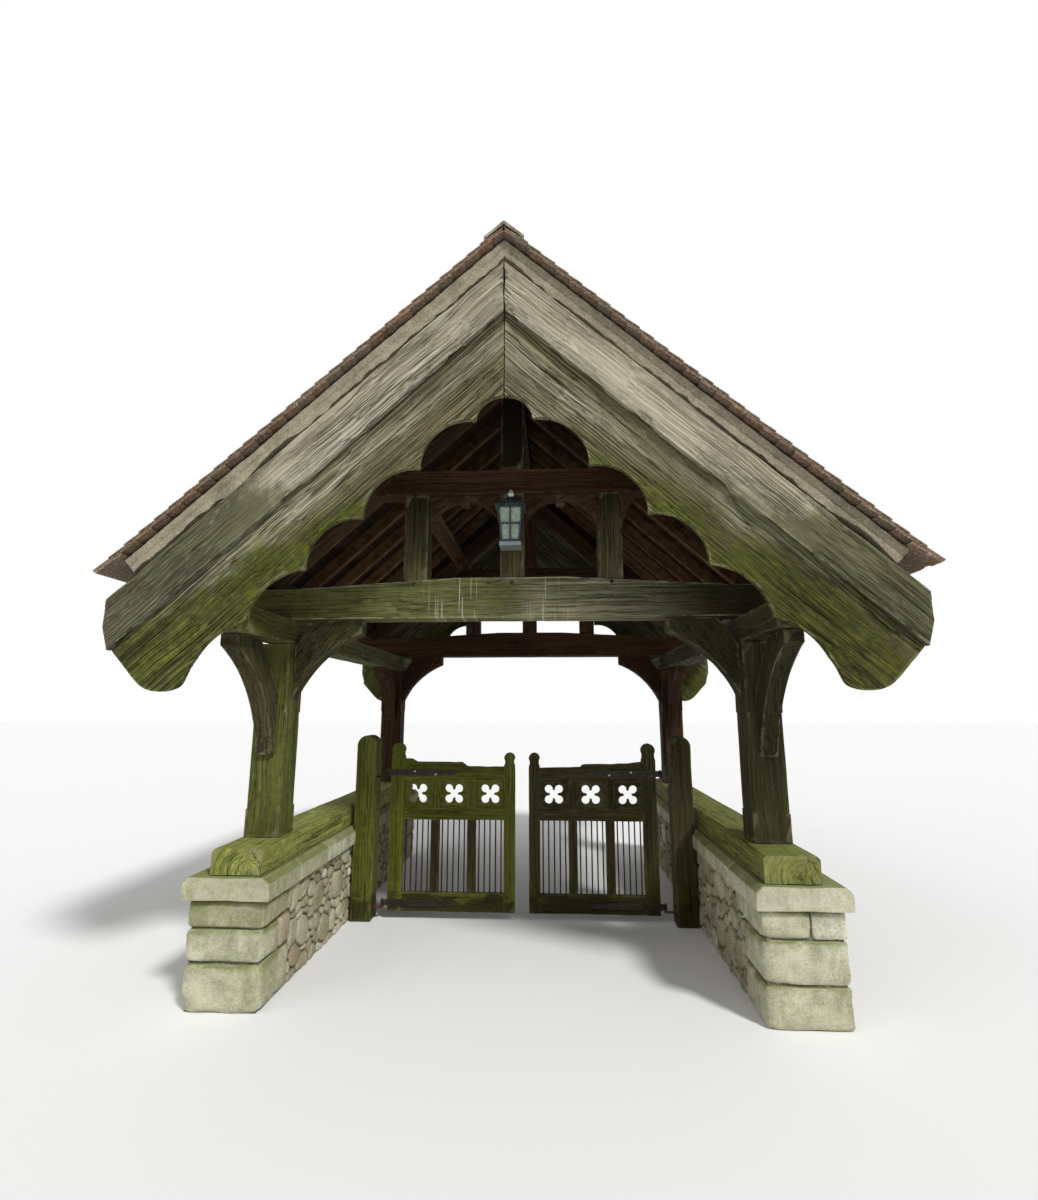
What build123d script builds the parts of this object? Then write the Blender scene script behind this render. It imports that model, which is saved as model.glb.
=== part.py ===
"""Timber lychgate: a tiled gable roof on two oak trusses, low stone walls and a pair of picket gates.

The frame is X across the passage, Y along it (the front gable is at -Y) and Z up, in millimetres.
The origin is on the ground in the middle of the passage.
"""
import os
from math import atan, cos, degrees, radians, sin, tan

from build123d import *

# Plan of the building
TRUSS_SPACING = 2740.0          # centre to centre of the two trusses
GABLE_OVERHANG = 700.0          # truss centre to the inner face of the bargeboards
PASSAGE_HALF = 1280.0           # middle of the passage to the inner face of a wall
POST_SETBACK = 80.0             # inner face of a wall to the inner face of a post

# Walls, copings and sills
WALL_THICK = 430.0
WALL_HEIGHT = 550.0
WALL_RUN_ON = 380.0             # wall beyond the truss centre at each end
COPING_HEIGHT = 120.0
COPING_LIP = 30.0
COPING_BEVEL = 35.0
SILL_WIDTH = 290.0
SILL_HEIGHT = 140.0
SILL_SETBACK = 30.0             # inner face of a wall to the inner face of a sill
SILL_BEVEL = 18.0

# Posts and plates
POST_SIZE = 210.0
POST_CHAMFER = 18.0
POST_STOP_LOW = 160.0           # plain foot below the chamfer
POST_STOP_HIGH = 420.0          # plain head above the chamfer
PLATE_Z = 1945.0                # underside of the wall plates
PLATE_WIDTH = 160.0
PLATE_HEIGHT = 150.0

# Tie beams
TIE_RUN_OUT = 490.0             # tie beam beyond the inner face of a post
TIE_DEPTH = 180.0
TIE_END_HEIGHT = 195.0
TIE_CAMBER = 60.0
TIE_FLAT = 350.0                # half length of the level middle of the top

# Truss members
MEMBER_WIDTH = 152.0
MEMBER_THICK = 140.0
STRUT_SPACING = 610.0
COLLAR_Z = 2900.0
COLLAR_HEIGHT = 160.0
PEG_RADIUS = 11.0
PEG_STAND = 9.0
PEG_LEVEL = 24.0

# Roof planes, as depths below the tile surface, square to the slope
PITCH = 42.5
TILES_OVER_TIE = 219.8          # top of a tie beam's end up to the tile surface
TILE_DEPTH = 50.0
TILE_GAUGE = 100.0
TILE_STEP = 14.0
TILE_OVERHANG = 280.0           # end of a tie beam to the lower edge of the tiles
TILE_VERGE = 70.0               # tiles beyond the outer face of the lower bargeboard
RAFTER_DEPTH = 90.0
RAFTER_WIDTH = 62.0
RAFTER_COUNT = 11
RAFTER_OVERHANG = 120.0         # end of a tie beam to the plumb cut of a rafter
PURLIN_DEPTH = 130.0
PURLIN_WIDTH = 140.0
PURLIN_UP = 1236.3              # up the slope from the end of a tie beam to the purlin's middle
PRINCIPAL_TOP = 200.0
PRINCIPAL_DEPTH = 160.0
RIDGE_WIDTH = 90.0
RIDGE_HEIGHT = 150.0
EAVES_PLATE_INSET = 30.0        # end of the tie beam to the outer face of an eaves plate
EAVES_PLATE_WIDTH = 120.0

# Ridge tiles
RIDGE_TILE_COUNT = 9
RIDGE_TILE_WING = 140.0
RIDGE_TILE_THICK = 16.0
RIDGE_TILE_JOINT = 6.0

# Bargeboards
BOARD_TOP = 155.0
UPPER_BOARD_WIDTH = 220.0
UPPER_BOARD_THICK = 38.0
UPPER_BOARD_OVERHANG = 212.0    # end of a tie beam to the end of an upper board
UPPER_BOARD_PLUMB = 140.0
LOWER_BOARD_THICK = 35.0
CUSP_DEPTH = 735.0              # tile surface to the tips of the cusps
CUSP_FIRST = 878.0              # down the slope from the apex to the first tip
CUSP_PITCH = 400.0
CUSP_COUNT = 4                  # scallops on each board
CUSP_RISE = 95.0
LAST_CUSP_RISE = 72.0           # the scallop beside the tail is shallower
BOARD_JOINT = 2.0               # gap where the two boards meet under the ridge
CROWN_RISE = 134.0              # small arch between the two first tips
BOARD_RUN_ON = 580.7            # down the slope from the end of a tie beam to the end of the board
TAIL_SWEEP = 51.0               # hollow beside the last tip
TAIL_LOBE = 23.0                # swelling below the tips
TAIL_HEEL = 240.0               # rounded corner of the board's end, measured up from the tips
TAIL_ROUND = 56.0               # how far the rounding rises on its way to the heel
MORTAR_THICK = 72.0
MORTAR_TOE = 60.0               # mortar beyond the feet of the rafters

# Braces
BRACE_THICK = 100.0
ARCH_REACH = 420.0
ARCH_DROP = 495.0
ARCH_TIP = 85.0
ARCH_BACK_POST = 165.0
ARCH_BACK_TIE = 120.0
ARCH_BELLY = 62.0
GABLE_REACH = 520.0
GABLE_DROP = 665.0
GABLE_TIP = 65.0
GABLE_BACK_POST = 300.0
GABLE_BACK_PLATE = 260.0
GABLE_BELLY = 95.0
GABLE_TOE = 34.0
BAY_REACH = 520.0
BAY_DROP = 525.0
BAY_TIP = 70.0
BAY_BACK = 210.0
BAY_BELLY = 75.0

# Arched heads between the struts
HEAD_THICK = 64.0
HEAD_DROP = 255.0
HEAD_CROWN = 36.0
HEAD_BLOCK = 56.0
HEAD_BLOCK_DROP = 62.0
HEAD_BLOCK_STAND = 8.0

# Lantern on the front king post
LANTERN_Z = 2508.0
LANTERN_TRAY = 130.0
LANTERN_BASE = 30.0
LANTERN_FOOT = 114.0
LANTERN_HEAD = 156.0
LANTERN_GLASS = 215.0
LANTERN_BAR = 10.0
LANTERN_PANE = 3.0
LANTERN_REBATE = 1.0            # gap between the bars and the panes
LANTERN_EAVE = 180.0
LANTERN_LIP = 10.0
LANTERN_ROOF = 26.0
LANTERN_CROWN = 96.0
LANTERN_NECK = 34.0
LANTERN_NECK_RADIUS = 15.0
LANTERN_FINIAL = 58.0
LANTERN_FINIAL_WIDTH = 36.0
LANTERN_FINIAL_TIP = 12.0
LANTERN_ARM = 17.0
LANTERN_ARM_RISE = 1.0
LANTERN_PLATE = 26.0            # half width of the plate on the post
LANTERN_PLATE_THICK = 6.0
LANTERN_PLATE_DROP = 60.0
LANTERN_OFF = 118.0

# Gate posts and leaves
GATE_Y = -287.0                 # middle of the gate posts along the passage
GATE_POST_SIZE = 158.0
GATE_POST_GAP = 3.0             # gate post to the inner face of the wall
GATE_POST_HEIGHT = 1345.0
GATE_POST_ROUND = 78.0          # rise of the rounded top
HINGE_REACH = 72.0              # face of the gate post to the hinge pin
HINGE_Y = -316.0
PIN_RADIUS = 7.0
PIN_CLEARANCE = 0.05
PIN_HEIGHT = 52.0
EYE_RADIUS = 13.0
EYE_HEIGHT = 44.0
EYE_SIDES = 16
EYE_GAP = 0.3
LEAF_HANG = 29.0                # hinge pin to the outer edge of the gate
LEAF_INNER = 52.0
LEAF_THICK = 50.0
LEAF_FRONT = -306.0
LEAF_CLEAR = 60.0               # gap under the gates
STILE_HINGE = 108.0
STILE_CLOSING = 86.0
MUNTIN_WIDTH = 68.0
HINGE_STILE_TOP = 1286.0
CLOSING_STILE_TOP = 1214.0
STILE_NECK = 8.0
STILE_NECK_RISE = 10.0          # from the top rail to the start of the neck
STILE_HEAD = 1.05               # height of the rounded head, as a share of half the stile
TOP_RAIL_Z = 1010.0
TOP_RAIL_HEIGHT = 160.0
# Worn top edges of the top rails: shares of the way from hinge to closing stile, and what is lost
LEFT_RAIL_WEAR = ((0.0, 0.0), (0.07, 0.0), (0.12, 26.0), (0.58, 28.0), (0.63, 60.0), (1.0, 60.0))
RIGHT_RAIL_WEAR = ((0.0, 18.0), (0.12, 32.0), (0.57, 40.0), (0.6, 60.0), (1.0, 68.0))
MID_RAIL_Z = 714.0
MID_RAIL_HEIGHT = 87.0
BOTTOM_RAIL_HEIGHT = 134.0
RAIL_INSET = 3.0                # faces of the rails behind those of the stiles
MUNTIN_INSET = 5.0
PANEL_THICK = 26.0
FOIL_RADIUS = 30.0
FOIL_OFFSET = 55.0              # middle of a quatrefoil to the middle of a lobe
FOIL_ARM = 37.0                 # width of the arms that join the lobes
FOIL_SIDES = 20                 # facets of a lobe
GATE_BAR_RADIUS = 5.5
GATE_BAR_SIDES = 12
GATE_BARS = 5
STRAP_HEIGHT = 46.0
STRAP_THICK = 5.0
STRAP_REACH = 545.0
STRAP_TIP = 90.0
STRAP_LOW_Z = 122.0
STRAP_HIGH_Z = 1062.0
STRAP_SHOULDER = 50.0           # from the neck back to the full width of the strap
STRAP_BODY = 0.88               # widths as shares of the strap's height: before the neck,
STRAP_LEAF = 0.74               # at the leaf, at the neck and at the root
STRAP_NECK = 0.42
STRAP_ROOT = 1.0

# Values worked out from the ones above
POST_FACE = PASSAGE_HALF + POST_SETBACK
SILL_FACE = PASSAGE_HALF + SILL_SETBACK
GATE_POST_FACE = PASSAGE_HALF - GATE_POST_GAP - GATE_POST_SIZE
HINGE_X = GATE_POST_FACE - HINGE_REACH
LEAF_OUTER = HINGE_X - LEAF_HANG
TIE_HALF = POST_FACE + TIE_RUN_OUT
EAVES_PLATE_FACE = TIE_HALF - EAVES_PLATE_INSET - EAVES_PLATE_WIDTH
SLOPE_COS = cos(radians(PITCH))
SLOPE_SIN = sin(radians(PITCH))
SLOPE_TAN = tan(radians(PITCH))
TRUSS_Y = TRUSS_SPACING / 2
GABLE_Y = TRUSS_Y + GABLE_OVERHANG
VERGE_Y = GABLE_Y + LOWER_BOARD_THICK + TILE_VERGE
COPING_Z = WALL_HEIGHT + COPING_HEIGHT
POST_Z = COPING_Z + SILL_HEIGHT
POST_MID = POST_FACE + POST_SIZE / 2
PLATE_MID = POST_FACE + PLATE_WIDTH / 2
TIE_Z = PLATE_Z + PLATE_HEIGHT
TIE_TOP_END = TIE_Z + TIE_END_HEIGHT
APEX_Z = TIE_TOP_END + TILES_OVER_TIE + TIE_HALF * SLOPE_TAN
TILE_EAVES = TIE_HALF + TILE_OVERHANG
RAFTER_FOOT = TIE_HALF + RAFTER_OVERHANG
RAFTER_UNDER = TILE_DEPTH + RAFTER_DEPTH
PURLIN_ALONG = TIE_HALF / SLOPE_COS - PURLIN_UP
UPPER_BOARD_END = TIE_HALF + UPPER_BOARD_OVERHANG
BOARD_END = TIE_HALF / SLOPE_COS + BOARD_RUN_ON
TAIL_LENGTH = BOARD_END - CUSP_FIRST - CUSP_COUNT * CUSP_PITCH
BAY_CLEAR = (LEAF_OUTER - LEAF_INNER - STILE_HINGE - STILE_CLOSING - 2 * MUNTIN_WIDTH) / 3

os.makedirs("parts", exist_ok=True)


def save(name, *solids):
    """Write one node, made of one solid or of several that don't touch."""
    export_step(Compound(children=list(solids)) if len(solids) > 1 else solids[0], f"parts/{name}.step")


def across(face_edges, near, far):
    """Extrude an outline drawn in X and Z from near to far along Y."""
    plane = Plane(origin=(0, far, 0), x_dir=(1, 0, 0), z_dir=(0, -1, 0))
    return extrude(plane * make_face(face_edges), amount=far - near)


def along(face_edges, left, right):
    """Extrude an outline drawn in Y and Z from left to right along X."""
    plane = Plane(origin=(left, 0, 0), x_dir=(0, 1, 0), z_dir=(1, 0, 0))
    return extrude(plane * make_face(face_edges), amount=right - left)


def block(x0, x1, y0, y1, z0, z1):
    """A box between two corners."""
    return Pos((x0 + x1) / 2, (y0 + y1) / 2, (z0 + z1) / 2) * Box(x1 - x0, y1 - y0, z1 - z0)


def tapered(middle_x, middle_y, low_z, low_side, high_side, height):
    """A square solid that tapers evenly from one side length to another."""
    wide = max(low_side, high_side)
    angle = degrees(atan(abs(low_side - high_side) / 2 / height))
    solid = extrude(Rectangle(wide, wide), amount=height, taper=angle)
    if high_side > low_side:
        solid = Pos(0, 0, height) * Rot(180, 0, 0) * solid
    return Pos(middle_x, middle_y, low_z) * solid


def closed(*points):
    """A closed outline of straight edges."""
    return Polyline(*points, close=True)


def same(solid):
    """The piece where it is."""
    return solid


def left_of(solid):
    """The same piece on the left-hand side."""
    return mirror(solid, about=Plane.YZ)


def rear_of(solid):
    """The same piece at the rear."""
    return mirror(solid, about=Plane.XZ)


def slope(down, depth):
    """X and Z of a point on the right-hand slope, from its way down the slope and its depth."""
    return (down * SLOPE_COS - depth * SLOPE_SIN, APEX_Z - down * SLOPE_SIN - depth * SLOPE_COS)


def slope_z(x, depth):
    """Height of the plane at a depth below the tiles, at a distance from the middle."""
    return APEX_Z - depth / SLOPE_COS - x * SLOPE_TAN


def slope_x(z, depth):
    """Distance from the middle at which the plane at a depth reaches a height."""
    return (APEX_Z - depth / SLOPE_COS - z) / SLOPE_TAN


def walls():
    """Low rubble walls with a bevelled stone coping and an oak sill each."""
    end = TRUSS_Y + WALL_RUN_ON
    wall = block(PASSAGE_HALF, PASSAGE_HALF + WALL_THICK, -end, end, 0, WALL_HEIGHT)
    low = PASSAGE_HALF - COPING_LIP
    high = PASSAGE_HALF + WALL_THICK + COPING_LIP
    shoulder = COPING_Z - COPING_BEVEL
    coping = across(
        closed(
            (low, WALL_HEIGHT),
            (high, WALL_HEIGHT),
            (high, shoulder),
            (high - COPING_BEVEL, COPING_Z),
            (low + COPING_BEVEL, COPING_Z),
            (low, shoulder),
        ),
        -end - COPING_LIP,
        end + COPING_LIP,
    )
    half = GATE_POST_SIZE / 2
    post_back = GATE_POST_FACE + GATE_POST_SIZE
    coping -= block(0, post_back, GATE_Y - half, GATE_Y + half, 0, GATE_POST_HEIGHT)
    sill = block(SILL_FACE, SILL_FACE + SILL_WIDTH, -end, end, COPING_Z, POST_Z)
    sill = chamfer(sill.faces().sort_by(Axis.Z)[-1].edges().filter_by(Axis.Y), SILL_BEVEL)
    save("left_wall", left_of(wall))
    save("right_wall", wall)
    save("copings", left_of(coping), coping)
    save("sills", left_of(sill), sill)


def posts():
    """Four square posts with stopped chamfers on their arrises."""
    half = POST_SIZE / 2
    low = POST_Z + POST_STOP_LOW
    high = PLATE_Z - POST_STOP_HIGH
    post = Pos(0, 0, (POST_Z + PLATE_Z) / 2) * Box(POST_SIZE, POST_SIZE, PLATE_Z - POST_Z)
    side = POST_CHAMFER * 2 ** 0.5
    for x in (-half, half):
        for y in (-half, half):
            post -= Pos(x, y, (low + high) / 2) * Rot(0, 0, 45) * Box(side, side, high - low)
    right_rear = Pos(POST_MID, TRUSS_Y, 0) * post
    save("rear_right_post", right_rear)
    save("rear_left_post", left_of(right_rear))
    save("front_right_post", rear_of(right_rear))
    save("front_left_post", rear_of(left_of(right_rear)))


def plates():
    """Wall plates on the posts, and eaves plates on the ends of the tie beams."""
    wall_plate = block(POST_FACE, POST_FACE + PLATE_WIDTH, -GABLE_Y, GABLE_Y, PLATE_Z, TIE_Z)
    near = EAVES_PLATE_FACE
    far = EAVES_PLATE_FACE + EAVES_PLATE_WIDTH
    eaves_plate = across(
        closed(
            (near, TIE_TOP_END),
            (far, TIE_TOP_END),
            (far, slope_z(far, RAFTER_UNDER)),
            (near, slope_z(near, RAFTER_UNDER)),
        ),
        -GABLE_Y,
        GABLE_Y,
    )
    save("wall_plates", left_of(wall_plate), wall_plate)
    save("eaves_plates", left_of(eaves_plate), eaves_plate)
    return eaves_plate


def tie_beam():
    """A cambered tie beam at the front truss."""
    flat = TIE_TOP_END + TIE_CAMBER
    shape = closed(
        (-TIE_HALF, TIE_Z),
        (TIE_HALF, TIE_Z),
        (TIE_HALF, TIE_TOP_END),
        (POST_FACE, TIE_TOP_END),
        (TIE_FLAT, flat),
        (-TIE_FLAT, flat),
        (-POST_FACE, TIE_TOP_END),
        (-TIE_HALF, TIE_TOP_END),
    )
    return across(shape, -TRUSS_Y - TIE_DEPTH / 2, -TRUSS_Y + TIE_DEPTH / 2)


def pegs():
    """Oak pegs that stand proud where the struts are tenoned into the tie beams and the collars."""
    tie_face = -TRUSS_Y - TIE_DEPTH / 2
    collar_face = -TRUSS_Y - MEMBER_THICK / 2
    tie_peg_z = TIE_TOP_END + PEG_LEVEL
    places = [(x, tie_face, tie_peg_z) for x in (-STRUT_SPACING, 0, STRUT_SPACING)]
    places += [(x, collar_face, COLLAR_Z + PEG_LEVEL) for x in (-STRUT_SPACING, STRUT_SPACING)]
    places.append((0, collar_face, COLLAR_Z + COLLAR_HEIGHT - PEG_LEVEL))
    pieces = []
    for x, face, z in places:
        plane = Plane(origin=(x, face, z), x_dir=(1, 0, 0), z_dir=(0, -1, 0))
        pieces.append(extrude(plane * RegularPolygon(PEG_RADIUS, 8), amount=PEG_STAND))
    save("pegs", *pieces, *[rear_of(piece) for piece in pieces])


def trusses(eaves_plate):
    """Tie, collar, struts, arched heads and principal rafters of both trusses."""
    near = -TRUSS_Y - MEMBER_THICK / 2
    far = -TRUSS_Y + MEMBER_THICK / 2
    half = MEMBER_WIDTH / 2
    tie = tie_beam()
    ridge = ridge_beam()
    collar_top = COLLAR_Z + COLLAR_HEIGHT
    principal_under = PRINCIPAL_TOP + PRINCIPAL_DEPTH
    low = slope_x(COLLAR_Z, principal_under)
    high = slope_x(collar_top, principal_under)
    collar_shape = closed((-low, COLLAR_Z), (low, COLLAR_Z), (high, collar_top), (-high, collar_top))
    collar = across(collar_shape, near, far)

    struts = [
        block(x - half, x + half, near, far, TIE_Z, COLLAR_Z) - tie
        for x in (-STRUT_SPACING, 0, STRUT_SPACING)
    ]
    king = block(-half, half, near, far, collar_top, slope_z(0, RAFTER_UNDER)) - ridge
    king = king & across(roof_wedge(RAFTER_UNDER), near, far)

    foot_low = slope_x(TIE_TOP_END, principal_under)
    foot_high = slope_x(TIE_TOP_END, PRINCIPAL_TOP)
    principal = across(
        closed(
            (half, slope_z(half, principal_under)),
            (foot_low, TIE_TOP_END),
            (foot_high, TIE_TOP_END),
            (half, slope_z(half, PRINCIPAL_TOP)),
        ),
        near,
        far,
    )
    principal = principal - purlin() - eaves_plate - tie

    heads = []
    for middle in (-STRUT_SPACING / 2, STRUT_SPACING / 2):
        heads += arched_head(middle)

    for end, place in (("front", same), ("rear", rear_of)):
        save(f"{end}_tie_beam", place(tie))
        save(f"{end}_struts", *[place(strut) for strut in struts], place(king))
        save(f"{end}_principals", place(principal), place(left_of(principal)))
        save(f"{end}_arched_heads", *[place(head) for head in heads])
    save("collars", collar, rear_of(collar))


def roof_wedge(depth):
    """Outline of everything under the plane at a depth below the tiles."""
    foot = 1000.0
    return closed(
        (0, slope_z(0, depth)),
        (slope_x(foot, depth), foot),
        (-slope_x(foot, depth), foot),
    )


def arched_head(middle):
    """Two curved brackets that meet at a small block under the collar."""
    reach = STRUT_SPACING / 2 - MEMBER_WIDTH / 2
    edge = HEAD_BLOCK / 2
    near = -TRUSS_Y - HEAD_THICK / 2
    far = -TRUSS_Y + HEAD_THICK / 2
    crown = COLLAR_Z - HEAD_CROWN
    foot = COLLAR_Z - HEAD_DROP
    inner = edge * 0.5
    bend = (inner + (reach - inner) * sin(radians(48)), foot + (crown - foot) * cos(radians(48)))
    bracket = across(
        Polyline((inner, crown), (inner, COLLAR_Z), (reach, COLLAR_Z), (reach, foot))
        + ThreePointArc((reach, foot), bend, (inner, crown)),
        near,
        far,
    )
    stand = HEAD_BLOCK_STAND
    key = block(-edge, edge, near - stand, far + stand, COLLAR_Z - HEAD_BLOCK_DROP, COLLAR_Z)
    head = bracket + left_of(bracket) + key
    return [Pos(middle, 0, 0) * head]


def purlin():
    """The right-hand purlin, trenched into the principals."""
    top = PURLIN_ALONG - PURLIN_WIDTH / 2
    foot = PURLIN_ALONG + PURLIN_WIDTH / 2
    under = RAFTER_UNDER + PURLIN_DEPTH
    shape = closed(
        slope(top, RAFTER_UNDER),
        slope(foot, RAFTER_UNDER),
        slope(foot, under),
        slope(top, under),
    )
    return across(shape, -GABLE_Y, GABLE_Y)


def ridge_beam():
    """The ridge beam, with its top bevelled to the rafters."""
    half = RIDGE_WIDTH / 2
    peak = slope_z(0, RAFTER_UNDER)
    edge = slope_z(half, RAFTER_UNDER)
    foot = peak - RIDGE_HEIGHT
    shape = closed((-half, foot), (half, foot), (half, edge), (0, peak), (-half, edge))
    return across(shape, -GABLE_Y, GABLE_Y)


def rafters():
    """Common rafters, which meet in pairs over the ridge beam."""
    shape = closed(
        (0, slope_z(0, TILE_DEPTH)),
        (0, slope_z(0, RAFTER_UNDER)),
        (RAFTER_FOOT, slope_z(RAFTER_FOOT, RAFTER_UNDER)),
        (RAFTER_FOOT, slope_z(RAFTER_FOOT, TILE_DEPTH)),
    )
    step = (2 * GABLE_Y - RAFTER_WIDTH) / (RAFTER_COUNT - 1)
    right = [
        across(shape, -GABLE_Y + index * step, -GABLE_Y + index * step + RAFTER_WIDTH)
        for index in range(RAFTER_COUNT)
    ]
    save("right_rafters", *right)
    save("left_rafters", *[left_of(rafter) for rafter in right])


def tiles():
    """Stepped tile courses on each slope."""
    length = TILE_EAVES / SLOPE_COS
    courses = int(length / TILE_GAUGE)
    points = [(0, slope_z(0, TILE_DEPTH)), (0, slope_z(0, TILE_STEP))]
    for index in range(courses, 0, -1):
        down = length - index * TILE_GAUGE + TILE_GAUGE
        points.append(slope(down, 0))
        points.append(slope(down, TILE_STEP))
    points.append(slope(length, TILE_DEPTH))
    courses_right = across(closed(*points), -VERGE_Y, VERGE_Y)
    save("right_tile_courses", courses_right)
    save("left_tile_courses", left_of(courses_right))


def ridge_tiles():
    """Angular ridge tiles, end to end."""
    wing = RIDGE_TILE_WING
    thick = RIDGE_TILE_THICK
    inner = slope(wing, 0)
    outer = slope(wing, -thick)
    shape = closed(
        (0, slope_z(0, 0)),
        inner,
        outer,
        (0, slope_z(0, -thick)),
        (-outer[0], outer[1]),
        (-inner[0], inner[1]),
    )
    step = 2 * VERGE_Y / RIDGE_TILE_COUNT
    pieces = [
        across(shape, -VERGE_Y + index * step, -VERGE_Y + (index + 1) * step - RIDGE_TILE_JOINT)
        for index in range(RIDGE_TILE_COUNT)
    ]
    save("ridge_tiles", *pieces)


def scalloped_board():
    """The right-hand lower board: scallops between cusps, a crown arch and a swept tail."""
    gap = BOARD_JOINT / 2
    tips = [CUSP_FIRST + index * CUSP_PITCH for index in range(CUSP_COUNT + 1)]
    first = slope(tips[0], CUSP_DEPTH)
    crown_z = first[1] + CROWN_RISE
    last = tips[-1]
    end = last + TAIL_LENGTH
    step = BOARD_TOP + UPPER_BOARD_WIDTH
    corner = slope(end, step)
    edges = Polyline(
        (gap, crown_z),
        (gap, slope_z(gap, BOARD_TOP)),
        (corner[0], slope_z(corner[0], BOARD_TOP)),
        corner,
        slope(end, CUSP_DEPTH - TAIL_HEEL),
    )
    lobe_start = slope(last + TAIL_LENGTH * 0.52, CUSP_DEPTH - TAIL_SWEEP * 0.5)
    edges += Spline(
        slope(end, CUSP_DEPTH - TAIL_HEEL),
        slope(last + TAIL_LENGTH * 0.95, CUSP_DEPTH - TAIL_ROUND),
        slope(last + TAIL_LENGTH * 0.76, CUSP_DEPTH + TAIL_LOBE),
        lobe_start,
        tangents=[(-SLOPE_SIN, -SLOPE_COS), (-SLOPE_COS * 0.9, SLOPE_SIN * 1.35)],
    )
    edges += ThreePointArc(
        lobe_start,
        slope(last + TAIL_LENGTH * 0.28, CUSP_DEPTH - TAIL_SWEEP),
        slope(last, CUSP_DEPTH),
    )
    for upper, lower in zip(tips[-2::-1], tips[:0:-1]):
        rise = LAST_CUSP_RISE if lower == last else CUSP_RISE
        edges += ThreePointArc(
            slope(lower, CUSP_DEPTH),
            slope((upper + lower) / 2, CUSP_DEPTH - rise),
            slope(upper, CUSP_DEPTH),
        )
    bend = (first[0] * sin(radians(50)), first[1] + CROWN_RISE * cos(radians(50)))
    edges += ThreePointArc(first, bend, (gap, crown_z))
    return across(edges, -GABLE_Y - LOWER_BOARD_THICK, -GABLE_Y)


def bargeboards():
    """Scalloped boards, the plain boards over them and the mortar verge, on both gables."""
    gap = BOARD_JOINT / 2
    lower = scalloped_board()
    step = BOARD_TOP + UPPER_BOARD_WIDTH
    end = UPPER_BOARD_END
    plumb_top = slope_z(end, BOARD_TOP)
    corner = slope(CUSP_FIRST + CUSP_COUNT * CUSP_PITCH + TAIL_LENGTH, step)
    face = -GABLE_Y - LOWER_BOARD_THICK
    upper = across(
        closed(
            (gap, slope_z(gap, BOARD_TOP)),
            (end, plumb_top),
            (end, plumb_top - UPPER_BOARD_PLUMB),
            corner,
            (gap, slope_z(gap, step)),
        ),
        face - UPPER_BOARD_THICK,
        face,
    )
    toe = RAFTER_FOOT + MORTAR_TOE
    mortar = across(
        closed(
            (gap, slope_z(gap, TILE_DEPTH)),
            (toe, slope_z(toe, TILE_DEPTH)),
            (toe, slope_z(toe, BOARD_TOP)),
            (gap, slope_z(gap, BOARD_TOP)),
        ),
        -GABLE_Y - MORTAR_THICK,
        -GABLE_Y,
    )
    for end_name, place in (("front", same), ("rear", rear_of)):
        save(f"{end_name}_scalloped_boards", place(left_of(lower)), place(lower))
        save(f"{end_name}_upper_boards", place(left_of(upper)), place(upper))
    save("verge_mortar", *[end(side(mortar)) for end in (same, rear_of) for side in (same, left_of)])


def curved_brace(reach, drop, tip, back_low, back_high, belly, toe):
    """Outline of a brace: origin in the corner, reach along the first axis, drop down the second."""
    start = (toe, -drop)
    finish = (reach, -tip)
    span = ((finish[0] - start[0]) ** 2 + (finish[1] - start[1]) ** 2) ** 0.5
    middle = (
        (start[0] + finish[0]) / 2 - belly * (finish[1] - start[1]) / span,
        (start[1] + finish[1]) / 2 + belly * (finish[0] - start[0]) / span,
    )
    corner = [(back_high, 0), (0, -back_low)] if back_low and back_high else [(0, 0)]
    sides = [finish, (reach, 0)] + corner + [(0, -drop)]
    if toe:
        sides.append(start)
    return Polyline(*sides) + ThreePointArc(start, middle, finish)


def braces():
    """Curved braces to the tie beams, to the gable ends of the plates and within the rear bay."""
    arch = curved_brace(ARCH_REACH, ARCH_DROP, ARCH_TIP, ARCH_BACK_POST, ARCH_BACK_TIE, ARCH_BELLY, 0)
    half = BRACE_THICK / 2
    arch_brace = Pos(-POST_FACE, 0, TIE_Z) * across(arch, -TRUSS_Y - half, -TRUSS_Y + half)
    save("front_arch_braces", arch_brace, left_of(arch_brace))
    save("rear_arch_braces", rear_of(arch_brace), rear_of(left_of(arch_brace)))

    inner = POST_MID - half
    outer = POST_MID + half
    gable = curved_brace(
        GABLE_REACH, GABLE_DROP, GABLE_TIP, GABLE_BACK_POST, GABLE_BACK_PLATE, GABLE_BELLY, GABLE_TOE
    )
    gable_brace = Pos(0, TRUSS_Y + POST_SIZE / 2, PLATE_Z) * along(gable, inner, outer)
    save("rear_gable_braces", left_of(gable_brace), gable_brace)
    save("front_gable_braces", rear_of(left_of(gable_brace)), rear_of(gable_brace))

    bay = curved_brace(BAY_REACH, BAY_DROP, BAY_TIP, BAY_BACK, BAY_BACK, BAY_BELLY, 0)
    bay_brace = rear_of(Pos(0, -TRUSS_Y + POST_SIZE / 2, PLATE_Z) * along(bay, inner, outer))
    save("bay_braces", left_of(bay_brace), bay_brace)


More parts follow.
